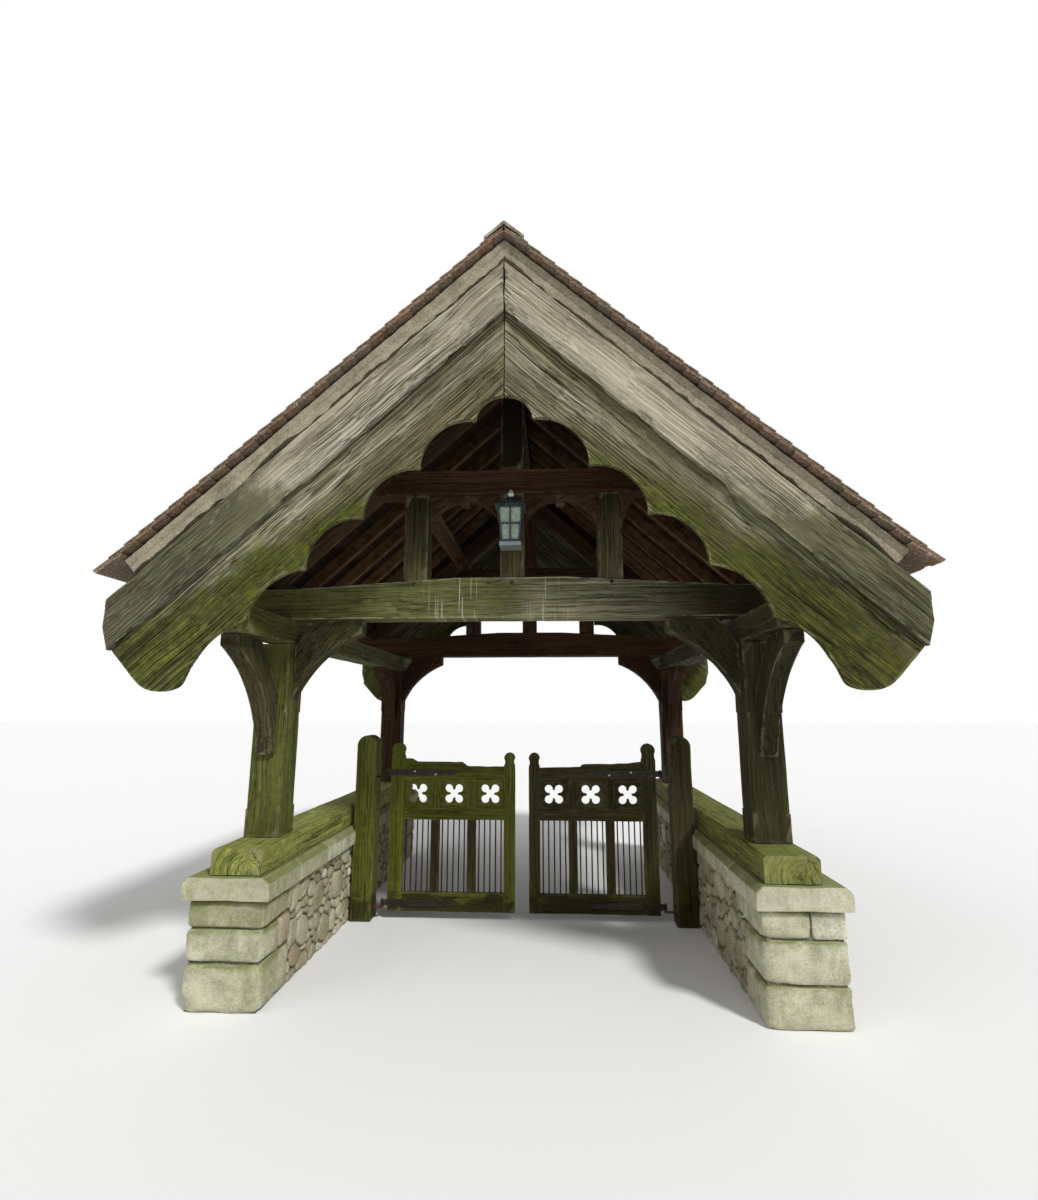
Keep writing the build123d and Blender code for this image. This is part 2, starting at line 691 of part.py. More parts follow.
def lantern():
    """A tapered square lantern on a bracket, in front of the front king post."""
    face = -TRUSS_Y - MEMBER_THICK / 2
    centre = face - LANTERN_OFF
    foot = LANTERN_Z + LANTERN_BASE
    head = foot + LANTERN_GLASS
    low = LANTERN_FOOT / 2
    high = LANTERN_HEAD / 2
    tray = Pos(0, centre, LANTERN_Z + LANTERN_BASE / 2) * Box(LANTERN_TRAY, LANTERN_TRAY, LANTERN_BASE)
    bar = LANTERN_BAR
    outer = tapered(0, centre, foot, LANTERN_FOOT, LANTERN_HEAD, LANTERN_GLASS)
    inner = tapered(0, centre, foot, LANTERN_FOOT - 2 * bar, LANTERN_HEAD - 2 * bar, LANTERN_GLASS)
    shell = outer - inner
    opening = LANTERN_GLASS / 2 - 1.5 * bar
    cuts = []
    for level in (0, 1):
        bottom = foot + bar + level * (opening + bar)
        part = (bottom + opening / 2 - foot) / LANTERN_GLASS
        width = low + (high - low) * part - 1.5 * bar
        for side in (-1, 1):
            place = side * (width / 2 + bar / 2)
            cuts.append(Pos(place, centre, bottom + opening / 2) * Box(width, 3 * high, opening))
            cuts.append(Pos(0, centre + place, bottom + opening / 2) * Box(3 * high, width, opening))
    frame = shell
    for cut in cuts:
        frame -= cut
    roof = tapered(0, centre, head + LANTERN_LIP, LANTERN_EAVE, LANTERN_CROWN, LANTERN_ROOF)
    eave = Pos(0, centre, head + LANTERN_LIP / 2) * Box(LANTERN_EAVE, LANTERN_EAVE, LANTERN_LIP)
    top = head + LANTERN_LIP + LANTERN_ROOF
    neck = Pos(0, centre, top) * extrude(RegularPolygon(LANTERN_NECK_RADIUS, 8), amount=LANTERN_NECK)
    finial_z = top + LANTERN_NECK + LANTERN_FINIAL * 0.4
    half_finial = LANTERN_FINIAL / 2
    tip = LANTERN_FINIAL_TIP
    finial = tapered(0, centre, finial_z - half_finial, tip, LANTERN_FINIAL_WIDTH, half_finial)
    finial += tapered(0, centre, finial_z, LANTERN_FINIAL_WIDTH, tip, half_finial)
    half_arm = LANTERN_ARM / 2
    arm_z = top + LANTERN_ARM_RISE
    arm = block(-half_arm, half_arm, centre, face, arm_z, arm_z + LANTERN_ARM)
    plate = block(
        -LANTERN_PLATE, LANTERN_PLATE, face - LANTERN_PLATE_THICK, face,
        top - LANTERN_PLATE_DROP, top + LANTERN_PLATE * 2,
    )
    save("lantern_frame", tray + frame + eave + roof + neck + finial + arm + plate)
    behind = 2 * (bar + LANTERN_REBATE)
    glass_outer = tapered(0, centre, foot, LANTERN_FOOT - behind, LANTERN_HEAD - behind, LANTERN_GLASS)
    behind += 2 * LANTERN_PANE
    glass_inner = tapered(0, centre, foot, LANTERN_FOOT - behind, LANTERN_HEAD - behind, LANTERN_GLASS)
    save("lantern_glass", glass_outer - glass_inner)


def gate_posts():
    """Gate posts with rounded tops, and the hinge hooks driven into them."""
    half = GATE_POST_SIZE / 2
    inner = GATE_POST_FACE
    outer = GATE_POST_FACE + GATE_POST_SIZE
    shoulder = GATE_POST_HEIGHT - GATE_POST_ROUND
    post = across(
        Polyline((outer, shoulder), (outer, 0), (inner, 0), (inner, shoulder))
        + ThreePointArc((inner, shoulder), (inner + half, GATE_POST_HEIGHT), (outer, shoulder)),
        GATE_Y - half,
        GATE_Y + half,
    )
    save("right_gate_post", post)
    save("left_gate_post", left_of(post))
    hooks = []
    for level in (STRAP_LOW_Z, STRAP_HIGH_Z):
        shoulder_z = level - EYE_HEIGHT / 2 - EYE_GAP
        arm_z = shoulder_z - PIN_RADIUS
        pin = Pos(HINGE_X, HINGE_Y, shoulder_z + PIN_HEIGHT / 2) * Cylinder(PIN_RADIUS, PIN_HEIGHT)
        knee = block(
            HINGE_X - PIN_RADIUS, GATE_POST_FACE, HINGE_Y - PIN_RADIUS, HINGE_Y + PIN_RADIUS,
            shoulder_z - 2 * PIN_RADIUS, shoulder_z,
        )
        hooks.append(pin + knee)
    save("gate_hooks", *hooks, *[left_of(hook) for hook in hooks])


def quatrefoil():
    """Outline of a four-lobed opening, about its own centre."""
    arm = Rectangle(2 * FOIL_OFFSET, FOIL_ARM)
    lobes = Rot(0, 0, 45) * arm + Rot(0, 0, 135) * arm
    for turn in range(4):
        place = Rot(0, 0, 45 + 90 * turn) * Pos(FOIL_OFFSET, 0, 0)
        lobes += place * RegularPolygon(FOIL_RADIUS, FOIL_SIDES)
    return lobes


def stile(low_x, high_x, top, rail_top):
    """A gate stile with a necked, rounded top."""
    middle = (low_x + high_x) / 2
    half = (high_x - low_x) / 2
    neck = rail_top + STILE_NECK_RISE
    shoulder = top - half * STILE_HEAD
    waist = half - STILE_NECK
    outline = (
        Polyline(
            (middle - half, neck),
            (middle - half, LEAF_CLEAR),
            (middle + half, LEAF_CLEAR),
            (middle + half, neck),
        )
        + ThreePointArc(
            (middle + half, neck),
            (middle + waist, (neck + shoulder) / 2),
            (middle + half, shoulder),
        )
        + ThreePointArc((middle + half, shoulder), (middle, top), (middle - half, shoulder))
        + ThreePointArc(
            (middle - half, shoulder),
            (middle - waist, (neck + shoulder) / 2),
            (middle - half, neck),
        )
    )
    return across(outline, LEAF_FRONT, LEAF_FRONT + LEAF_THICK)


def gate_leaf(wear):
    """A right-hand gate: frame with a worn top, quatrefoil panels, round bars and strap hinges."""
    back = LEAF_FRONT + LEAF_THICK
    rail_top = TOP_RAIL_Z + TOP_RAIL_HEIGHT
    frame = stile(LEAF_OUTER - STILE_HINGE, LEAF_OUTER, HINGE_STILE_TOP, rail_top - wear[0][1])
    frame += stile(LEAF_INNER, LEAF_INNER + STILE_CLOSING, CLOSING_STILE_TOP, rail_top - wear[-1][1])
    left = LEAF_INNER + STILE_CLOSING
    right = LEAF_OUTER - STILE_HINGE
    bottom_top = LEAF_CLEAR + BOTTOM_RAIL_HEIGHT
    mid_top = MID_RAIL_Z + MID_RAIL_HEIGHT
    for low, high in ((LEAF_CLEAR, bottom_top), (MID_RAIL_Z, mid_top)):
        frame += block(left, right, LEAF_FRONT + RAIL_INSET, back - RAIL_INSET, low, high)
    worn = [(right - share * (right - left), rail_top - lost) for share, lost in wear]
    top_rail = closed((left, TOP_RAIL_Z), (right, TOP_RAIL_Z), *worn)
    frame += across(top_rail, LEAF_FRONT + RAIL_INSET, back - RAIL_INSET)
    starts = [left + index * (BAY_CLEAR + MUNTIN_WIDTH) for index in range(3)]
    for start in starts[1:]:
        near = LEAF_FRONT + MUNTIN_INSET
        frame += block(start - MUNTIN_WIDTH, start, near, back - MUNTIN_INSET, bottom_top, TOP_RAIL_Z)

    middle_y = LEAF_FRONT + LEAF_THICK / 2
    panels = []
    bars = []
    panel_mid = (mid_top + TOP_RAIL_Z) / 2
    plane = Plane(origin=(0, middle_y + PANEL_THICK / 2, 0), x_dir=(1, 0, 0), z_dir=(0, -1, 0))
    for start in starts:
        near = middle_y - PANEL_THICK / 2
        panel = block(start, start + BAY_CLEAR, near, near + PANEL_THICK, mid_top, TOP_RAIL_Z)
        hole = plane * Pos(start + BAY_CLEAR / 2, panel_mid, 0) * quatrefoil()
        panels.append(panel - extrude(hole, amount=PANEL_THICK))
        pitch = BAY_CLEAR / GATE_BARS
        for index in range(GATE_BARS):
            x = start + (index + 0.5) * pitch
            section = Pos(x, middle_y, bottom_top) * RegularPolygon(GATE_BAR_RADIUS, GATE_BAR_SIDES)
            bars.append(extrude(section, amount=MID_RAIL_Z - bottom_top))

    straps = [strap(STRAP_LOW_Z), strap(STRAP_HIGH_Z)]
    return frame, panels, bars, straps


def strap(level):
    """A strap hinge: an eye on the pin, a tapered strap and a leaf-shaped tip."""
    end = HINGE_X - STRAP_REACH
    half = STRAP_HEIGHT / 2
    neck = half * STRAP_NECK
    leaf = half * STRAP_LEAF
    body = half * STRAP_BODY
    root = half * STRAP_ROOT
    root_x = HINGE_X - EYE_RADIUS * 0.8
    tip_start = end + STRAP_TIP
    body_end = tip_start + STRAP_SHOULDER
    leaf_x = end + STRAP_TIP * 0.62
    face = LEAF_FRONT - STRAP_THICK
    outline = (
        Polyline(
            (tip_start, level - neck),
            (body_end, level - body),
            (root_x, level - root),
            (root_x, level + root),
            (body_end, level + body),
            (tip_start, level + neck),
        )
        + ThreePointArc((tip_start, level + neck), (leaf_x, level + leaf), (end, level))
        + ThreePointArc((end, level), (leaf_x, level - leaf), (tip_start, level - neck))
    )
    plate = across(outline, face, LEAF_FRONT)
    eye_foot = Pos(HINGE_X, HINGE_Y, level - EYE_HEIGHT / 2)
    eye = eye_foot * extrude(RegularPolygon(EYE_RADIUS, EYE_SIDES), amount=EYE_HEIGHT)
    hole = Pos(HINGE_X, HINGE_Y, level) * Cylinder(PIN_RADIUS + PIN_CLEARANCE, EYE_HEIGHT * 2)
    return plate + eye - hole


def gates():
    """Both gates."""
    for name, side, wear in (("right", same, RIGHT_RAIL_WEAR), ("left", left_of, LEFT_RAIL_WEAR)):
        frame, panels, bars, straps = gate_leaf(wear)
        save(f"{name}_gate_frame", side(frame))
        save(f"{name}_gate_panels", *[side(panel) for panel in panels])
        save(f"{name}_gate_bars", *[side(bar) for bar in bars])
        save(f"{name}_gate_straps", *[side(piece) for piece in straps])


walls()
posts()
trusses(plates())
pegs()
purlin_right = purlin()
save("purlins", left_of(purlin_right), purlin_right)
save("ridge_beam", ridge_beam())
rafters()
tiles()
ridge_tiles()
bargeboards()
braces()
lantern()
gate_posts()
gates()
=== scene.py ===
"""Dresses the timber lychgate: worn oak, plain clay tiles, rubble walls, iron straps and a lantern.

Metres, in the part's own frame: X across the passage, Y along it with the front gable at -Y, Z up.
"""
import bmesh
import bpy
from itertools import product
from math import atan2, cos, pi, radians, sin
from mathutils import Matrix, Vector, noise
from mathutils.kdtree import KDTree
from random import Random


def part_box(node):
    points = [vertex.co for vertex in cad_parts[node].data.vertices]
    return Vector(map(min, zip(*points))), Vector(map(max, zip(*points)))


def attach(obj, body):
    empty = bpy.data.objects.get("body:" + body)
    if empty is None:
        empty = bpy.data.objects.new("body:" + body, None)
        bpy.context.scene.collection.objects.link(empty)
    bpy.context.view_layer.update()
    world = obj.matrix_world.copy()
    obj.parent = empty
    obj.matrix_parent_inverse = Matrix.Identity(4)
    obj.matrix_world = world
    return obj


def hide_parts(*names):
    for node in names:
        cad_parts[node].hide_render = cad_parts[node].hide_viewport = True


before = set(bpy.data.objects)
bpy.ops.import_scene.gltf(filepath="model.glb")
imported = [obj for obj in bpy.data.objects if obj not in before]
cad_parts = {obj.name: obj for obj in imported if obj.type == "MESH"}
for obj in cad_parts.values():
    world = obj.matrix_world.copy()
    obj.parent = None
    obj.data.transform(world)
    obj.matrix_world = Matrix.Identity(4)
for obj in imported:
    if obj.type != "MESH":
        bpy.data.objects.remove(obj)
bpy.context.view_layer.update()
noise.seed_set(7)               # the noise is otherwise seeded by the clock
scene = bpy.context.scene

# Camera
camera_data = bpy.data.cameras.new("camera")
camera_data.lens = 18.0
camera = bpy.data.objects.new("camera", camera_data)
scene.collection.objects.link(camera)
camera.location = (0.25, -5.07, 1.55)
camera.rotation_euler = (pi / 2 + 0.179, 0.0, 0.057)
scene.camera = camera
scene.view_settings.view_transform = "Standard"

# Roof, from the part's own sizes
PITCH = radians(42.5)
APEX_Z = 4.205
GABLE_Y = 2.07
VERGE_Y = 2.175
EAVES_X = 2.13
TILE_BED = 0.05                 # depth of the underside of the tiles
RAFTER_FOOT = 1.97
TILE_LONG = 0.265
TILE_THICK = 0.012
TILE_GAUGE = 0.1
TILE_PITCH = 0.1673
TILE_JOINT = 0.001
TILE_CHIP = (0.006, 0.02)
ROOF_BOARD = 0.148
RIDGE_COUNT = 9
RIDGE_WING = 0.14
RIDGE_THICK = 0.016

# Walls
WALL_IN = 1.28
WALL_OUT = 1.71
WALL_END = 1.75
WALL_TOP = 0.55
COPING_TOP = 0.67
COPING_LIP = 0.03
STONE_JOINT = 0.003
COPING_BEVEL = 0.035
SLAB_LONGEST = 0.78
SLAB_LENGTHS = (0.42, 0.66)
GATE_Y = -0.287
GATE_POST_HALF = 0.079
GATE_POST_BACK = 1.277

# Gates
LEAF_FRONT = -0.306
LEAF_THICK = 0.05
LEAF_MIDDLE = LEAF_FRONT + LEAF_THICK / 2
LEAF_IN = 0.052
LEAF_OUT = 1.018
LEAF_FOOT = 0.06
STILE_HINGE = 0.108
STILE_CLOSING = 0.086
STILE_TOPS = (1.286, 1.214)     # at the hinges and at the closing side
MUNTIN = 0.068
MUNTIN_INSET = 0.002
BOTTOM_TOP = 0.194
MID_LOW = 0.714
MID_TOP = 0.801
RAIL_LOW = 1.01
RAIL_TOP = 1.17
RAIL_INSET = 0.003
TENON = 0.006
BEAD_WIDE = 0.011
BEAD_PROUD = 0.006
PANEL_HALF = 0.013
STRAP_LEVELS = (0.122, 1.062)
BOLT_PLACES = (0.97, 0.89, 0.76, 0.63, 0.56)
NAIL_PLACES = ((0.83, 0.011), (0.667, -0.012))
RODS_A_BAY = 5


def slope(down, depth):
    """X and Z on the right-hand slope, from the way down it and the depth below the tiles."""
    return (down * cos(PITCH) - depth * sin(PITCH), APEX_Z - down * sin(PITCH) - depth * cos(PITCH))


def noise_at(x, y, z=0.0):
    """Even noise between -1 and 1."""
    return noise.noise(Vector((x, y, z)))


# Materials

class Signal:
    """A node's output that takes sums as a number does, and makes the nodes that work them out."""

    def __init__(self, socket):
        self.socket = socket
        self.tree = socket.id_data

    def math(self, operation, first, second, clamp=False):
        return put(self.tree, "ShaderNodeMath", {0: first, 1: second}, operation=operation, use_clamp=clamp)

    def __add__(self, other):
        return self.math("ADD", self, other)

    def __sub__(self, other):
        return self.math("SUBTRACT", self, other)

    def __mul__(self, other):
        return self.math("MULTIPLY", self, other)

    def __abs__(self):
        return self.math("ABSOLUTE", self, 0.0)

    def over(self, other):
        return self.math("DIVIDE", self, other)

    def below(self, top, clamp=False):
        return self.math("SUBTRACT", top, self, clamp)

    def most(self, other):
        return self.math("MAXIMUM", self, other)

    def eased(self, low, high, to_low=0.0, to_high=1.0):
        """The value moved from one range to another."""
        wanted = {"Value": self, "From Min": low, "From Max": high, "To Min": to_low, "To Max": to_high}
        return put(self.tree, "ShaderNodeMapRange", wanted)

    def mix(self, first, second):
        """The first colour where this is 0 and the second where it is 1."""
        return put(self.tree, "ShaderNodeMix", {0: self, 6: first, 7: second}, 2, data_type="RGBA")

    def vector(self, operation, other):
        return put(self.tree, "ShaderNodeVectorMath", {0: self, 1: other}, operation=operation)

    def speckle(self, size, detail=4.0, rough=0.55, output=0):
        """Noise over this place."""
        wanted = {"Vector": self, "Scale": size, "Detail": detail, "Roughness": rough}
        return put(self.tree, "ShaderNodeTexNoise", wanted, output)

    def part(self, axis):
        return put(self.tree, "ShaderNodeSeparateXYZ", {0: self}, axis)


def feed(socket, value):
    """Joins a socket to a signal, or sets it to a plain value."""
    if isinstance(value, Signal):
        value.tree.links.new(value.socket, socket)
    elif socket.type == "RGBA":
        socket.default_value = (*value, 1.0)
    else:
        socket.default_value = value


def put(tree, kind, wanted=None, output=0, **settings):
    """The output of a new node with its settings and its inputs."""
    made = tree.nodes.new(kind)
    for key, value in settings.items():
        setattr(made, key, value)
    for key, value in (wanted or {}).items():
        feed(made.inputs[key], value)
    return Signal(made.outputs[output])


class Group:
    """A shader node group with named inputs and outputs, that several materials use."""

    def __init__(self, name, place, numbers, results, build):
        self.tree = bpy.data.node_groups.new(name, "ShaderNodeTree")
        face = self.tree.interface
        face.new_socket(name=place, in_out="INPUT", socket_type="NodeSocketVector")
        for label, value in numbers.items():
            socket = face.new_socket(name=label, in_out="INPUT", socket_type="NodeSocketFloat")
            socket.default_value = value
        for label in results:
            face.new_socket(name=label, in_out="OUTPUT", socket_type="NodeSocketFloat")
        wanted = self.tree.nodes.new("NodeGroupInput").outputs
        given = self.tree.nodes.new("NodeGroupOutput").inputs
        made = build(self.tree, *(Signal(wanted[label]) for label in (place, *numbers)))
        for label, value in zip(results, made):
            feed(given[label], value)

    def use(self, place, **numbers):
        """The group's outputs where a material uses it."""
        made = place.tree.nodes.new("ShaderNodeGroup")
        made.node_tree = self.tree
        feed(made.inputs[0], place)
        for label, value in numbers.items():
            feed(made.inputs[label], value)
        return [Signal(socket) for socket in made.outputs]


def build_grain(tree, grain, count, open_share):
    """Fine lines, broad streaks and open furrows that follow the grain of a piece."""
    waver = grain.speckle(2.2, 2.0, 0.5, "Color").vector("SUBTRACT", (0.5, 0.5, 0.5))
    bent = grain.vector("ADD", waver.vector("MULTIPLY", (0.0, 0.05, 0.05)))

    def stretched(along, across):
        if isinstance(across, Signal):
            across = put(tree, "ShaderNodeCombineXYZ", {0: along, 1: across, 2: across})
        else:
            across = (along, across, across)
        return bent.vector("MULTIPLY", across)

    lines = stretched(1.6, count).speckle(1.0, 5.0, 0.6)
    streaks = stretched(0.5, 7.0).speckle(1.0, 3.0, 0.5)
    narrow = open_share * 0.06 + 0.001
    away = abs(stretched(0.9, count * 0.62).speckle(1.0, 2.0, 0.45) - 0.5)
    furrows = away.over(narrow).below(1.0, True) * stretched(0.8, 3.0).speckle(1.3, 2.0).eased(0.32, 0.52)
    away = abs(stretched(3.2, count * 1.9).speckle(1.0, 2.0, 0.5) - 0.47)
    patch = stretched(1.7, 6.0).speckle(1.0, 2.0).eased(0.4, 0.6, 0.0, 0.8)
    furrows = furrows.most(away.over(narrow * 0.8).below(1.0, True) * patch)
    return lines, streaks, furrows, lines * 0.5 - furrows * 0.5 + 0.5


def build_growth(tree, place, amount, facing):
    """Where algae and moss take hold: patches that gather low down and on faces that look up."""
    fine = place.speckle(23.0, 5.0, 0.7)
    up = put(tree, "ShaderNodeNewGeometry", output="Normal").part(2).most(0.0) * facing
    level = place.speckle(2.1, 3.0, 0.6) * 0.62 + fine * 0.38 + (amount - 0.5) + up
    return level.eased(0.42, 0.62), fine


def build_wear(tree, place, amount):
    """Rubbed arrises, from the wear kept on the mesh and broken up by noise."""
    rub = put(tree, "ShaderNodeAttribute", output="Fac", attribute_name="wear").eased(0.72, 0.98)
    return (rub * place.speckle(14.0).eased(0.38, 0.62) * amount,)


TIMBER_GRAIN = Group(
    "timber_grain", "Grain", {"Lines": 60.0, "Furrows": 0.5},
    ("Lines", "Streaks", "Furrows", "Height"), build_grain,
)
GREEN_GROWTH = Group("green_growth", "Place", {"Amount": 0.5, "Up": 0.3}, ("Mask", "Patches"), build_growth)
EDGE_WEAR = Group("edge_wear", "Place", {"Amount": 0.6}, ("Mask",), build_wear)


class Finish:
    """A material being made: its shader, its place vector and what the mesh keeps."""

    def __init__(self, name):
        self.material = bpy.data.materials.new(name)
        self.material.use_nodes = True
        self.tree = self.material.node_tree
        self.inputs = self.tree.nodes["Principled BSDF"].inputs
        self.place = put(self.tree, "ShaderNodeTexCoord", output="Object")

    def kept(self, name, output="Fac"):
        """A value kept on the mesh."""
        return put(self.tree, "ShaderNodeAttribute", output=output, attribute_name=name)

    def done(self, colour, roughness, height, distance, **plain):
        """Joins colour, roughness and bump to the shader, with its other plain values."""
        feed(self.inputs["Base Color"], colour)
        feed(self.inputs["Roughness"], roughness)
        wanted = {"Height": height, "Distance": distance, "Strength": 1.0}
        feed(self.inputs["Normal"], put(self.tree, "ShaderNodeBump", wanted))
        for key, value in plain.items():
            feed(self.inputs[key.replace("_", " ")], value)
        return self.material


BASE_LOOK = {
    "lines": 70.0, "furrows": 0.5, "furrow_dark": 0.8, "bump": 0.004, "wear": 0.5,
    "tones": ((0.034, 0.027, 0.013), (0.1, 0.085, 0.044), (0.175, 0.16, 0.088)),
    "other": (0.095, 0.066, 0.032), "deep": (0.008, 0.006, 0.004), "rubbed": (0.26, 0.24, 0.15),
    "greens": ((0.068, 0.07, 0.018), (0.135, 0.138, 0.034)), "cover": 0.75,
    "span": (0.6, 2.4), "growth": (0.56, 0.38), "damp": (0.022, 0.02, 0.008),
}


def timber(name, **changes):
    """Weathered timber: grain, furrows, streaks, green growth, rubbed edges and cracks with painted shade in
    them.

    The growth is given for the lower and the upper height of the span. left adds to it on the left side,
    partly real growth and partly painted light. The right side can be darkened, partly a stain and partly
    painted shade.
    """
    look = {**BASE_LOOK, **changes}
    finish = Finish(name)
    place = finish.place
    dark, mid, pale = look["tones"]
    lines, streaks, furrows, height = TIMBER_GRAIN.use(
        finish.kept("grain", "Vector"), Lines=look["lines"], Furrows=look["furrows"])
    colour = lines.eased(0.38, 0.6).mix(dark, mid)
    colour = (streaks.eased(0.4, 0.62) * lines.eased(0.36, 0.58)).mix(colour, pale)
    colour = place.speckle(130.0, 3.0, 0.6).eased(0.5, 0.72, 0.0, 0.35).mix(colour, look["rubbed"])
    colour = finish.kept("tone").eased(0.0, 1.0, 0.0, 0.35).mix(colour, look["other"])
    aside, level = place.part(0), place.part(2)
    low, high = look["span"]
    amount = level.eased(high, low, *look["growth"][::-1])
    if "left" in look:
        amount = amount + aside.eased(1.2, -1.2, 0.0, look["left"])
    amount = amount + streaks.eased(0.3, 0.7, -0.09, 0.09)
    if "edge" in look:
        under = (level * cos(PITCH) + abs(aside) * sin(PITCH)).below(APEX_Z * cos(PITCH))
        amount = amount + under.eased(0.4, 0.66, *look["edge"])
    mask, patches = GREEN_GROWTH.use(place, Amount=amount, Up=0.25)
    green = patches.eased(0.35, 0.7).mix(*look["greens"])
    green = lines.eased(0.35, 0.65, 0.45, 0.0).mix(green, dark)
    colour = (mask * look["cover"]).mix(colour, green)
    if "muddy" in look:
        blot = place.vector("MULTIPLY", (6.0, 6.0, 14.0)).speckle(1.0, 5.0, 0.65)
        blot = blot + level.eased(0.3, 0.08, 0.0, 0.5)
        colour = blot.eased(0.72, 0.84, 0.0, look["muddy"]).mix(colour, look["damp"])
    # Darker towards the top, under the roof: painted shade.
    if "dark_up" in look:
        least, most, share = look["dark_up"]
        colour = level.eased(least, most, 0.0, share).mix(colour, look["damp"])
    # Darker towards the right: partly a stain, partly painted shade.
    if "damp_right" in look:
        colour = aside.eased(0.2, 1.3, 0.0, look["damp_right"]).mix(colour, look["damp"])
    colour = EDGE_WEAR.use(place, Amount=look["wear"])[0].mix(colour, look["rubbed"])
    colour = (furrows * look["furrow_dark"]).mix(colour, look["deep"])
    if "scratches" in look:
        marks = place.vector("MULTIPLY", (85.0, 0.0, 2.6)).speckle(1.0, 1.0, 0.3).eased(0.62, 0.67)
        marks = marks * place.vector("MULTIPLY", (3.1, 0.0, 0.6)).speckle(1.0, 1.0).eased(0.45, 0.58)
        for clear, full in ((-0.6, -0.4), (0.42, 0.3)):
            marks = marks * aside.eased(clear, full)
        colour = (marks * look["scratches"]).mix(colour, look["rubbed"])
    # Crack roots painted dark: painted shade inside the cracks.
    colour = finish.kept("painted_crack_shade").eased(0.05, 0.35).mix(colour, look["deep"])
    roughness = lines.eased(0.3, 0.7, 0.92, 0.66)
    return finish.done(colour, roughness, height + patches * 0.25, look["bump"], Specular_IOR_Level=0.08)


UNDER_ROOF = {"furrows": 0.35, "bump": 0.0025}
ON_GATES = {"lines": 90.0, "furrows": 0.4, "bump": 0.0025}
# Several timbers below are darkened towards the right, partly a stain and partly painted shade, and greener
# on the left, partly painted light.
BOARD_OAK = timber(
    "board_oak", lines=120.0, furrows=1.2, furrow_dark=0.94, bump=0.006,
    tones=((0.07, 0.055, 0.027), (0.215, 0.19, 0.108), (0.46, 0.44, 0.32)),
    other=(0.16, 0.135, 0.078), deep=(0.012, 0.009, 0.005), rubbed=(0.38, 0.38, 0.2),
    greens=((0.045, 0.054, 0.005), (0.165, 0.19, 0.016)), span=(2.1, 3.1), growth=(0.66, 0.18), left=0.05,
    cover=0.9, edge=(-0.14, 0.2), damp=(0.045, 0.04, 0.012), damp_right=0.42,
)
UPPER_BOARD_OAK = timber(
    "upper_board_oak", lines=120.0, furrows=1.3, furrow_dark=0.92, bump=0.006, wear=0.3,
    tones=((0.2, 0.17, 0.115), (0.53, 0.495, 0.38), (0.76, 0.735, 0.61)),
    other=(0.36, 0.3, 0.2), deep=(0.022, 0.018, 0.011), rubbed=(0.6, 0.58, 0.45),
    greens=((0.03, 0.034, 0.005), (0.078, 0.087, 0.011)), span=(2.15, 3.2), growth=(0.9, 0.16), left=0.03,
    cover=0.84,
)
FRAME_OAK = timber(
    "frame_oak", tones=((0.034, 0.03, 0.012), (0.1, 0.094, 0.038), (0.2, 0.19, 0.085)),
    greens=((0.062, 0.074, 0.011), (0.15, 0.172, 0.028)), growth=(0.5, 0.34), left=0.2, damp_right=0.75,
)
BRACE_OAK = timber(
    "brace_oak", furrows=0.6, tones=((0.013, 0.011, 0.004), (0.038, 0.033, 0.013), (0.085, 0.076, 0.031)),
    greens=((0.03, 0.034, 0.005), (0.07, 0.078, 0.012)), growth=(0.44, 0.44), cover=0.7, damp_right=0.65,
)
TIE_OAK = timber(
    "tie_oak", tones=((0.065, 0.058, 0.027), (0.215, 0.2, 0.115), (0.42, 0.405, 0.26)),
    greens=((0.06, 0.07, 0.011), (0.15, 0.172, 0.026)), span=(1.9, 2.4), growth=(0.12, 0.1), left=0.8,
    scratches=0.75, rubbed=(0.46, 0.45, 0.32), damp=(0.034, 0.025, 0.012), damp_right=1.1,
)
# The struts are painted darker higher up, under the roof: painted shade.
STRUT_OAK = timber(
    "strut_oak", tones=((0.03, 0.025, 0.01), (0.085, 0.074, 0.034), (0.16, 0.142, 0.07)),
    greens=((0.055, 0.064, 0.009), (0.12, 0.136, 0.02)), span=(2.2, 2.9), growth=(0.42, 0.1), left=0.16,
    damp=(0.012, 0.009, 0.004), dark_up=(2.4, 2.95, 0.9),
)
PEG_OAK = timber(
    "peg_oak", tones=((0.01, 0.008, 0.005), (0.024, 0.018, 0.011), (0.05, 0.038, 0.022)), growth=(0.2, 0.2),
)
# The timbers under the roof and at the back are darker than those at the front, down to near black under the
# tiles: partly their own colour, partly painted shade.
DARK_OAK = timber(
    "dark_oak", tones=((0.012, 0.0065, 0.004), (0.038, 0.02, 0.0105), (0.085, 0.048, 0.025)),
    other=(0.07, 0.026, 0.012), rubbed=(0.14, 0.09, 0.05), growth=(0.25, 0.2), cover=0.5, **UNDER_ROOF,
)
RAFTER_OAK = timber(
    "rafter_oak", tones=((0.022, 0.01, 0.005), (0.072, 0.033, 0.014), (0.15, 0.082, 0.038)),
    other=(0.11, 0.042, 0.015), rubbed=(0.2, 0.12, 0.06), growth=(0.15, 0.1), cover=0.4, **UNDER_ROOF,
)
UNDER_TILE_BOARDS = timber(
    "under_tile_boards", tones=((0.006, 0.0035, 0.0025), (0.016, 0.009, 0.006), (0.036, 0.02, 0.012)),
    other=(0.026, 0.011, 0.007), rubbed=(0.05, 0.03, 0.02), growth=(0.15, 0.1), cover=0.3,
    furrows=0.35, bump=0.002,
)
SILL_OAK = timber(
    "sill_oak", tones=((0.08, 0.073, 0.028), (0.26, 0.25, 0.105), (0.48, 0.47, 0.24)),
    greens=((0.17, 0.195, 0.03), (0.39, 0.44, 0.08)), span=(0.6, 0.9), growth=(0.64, 0.64), left=0.06,
    damp_right=0.35, damp=(0.06, 0.055, 0.02),
)
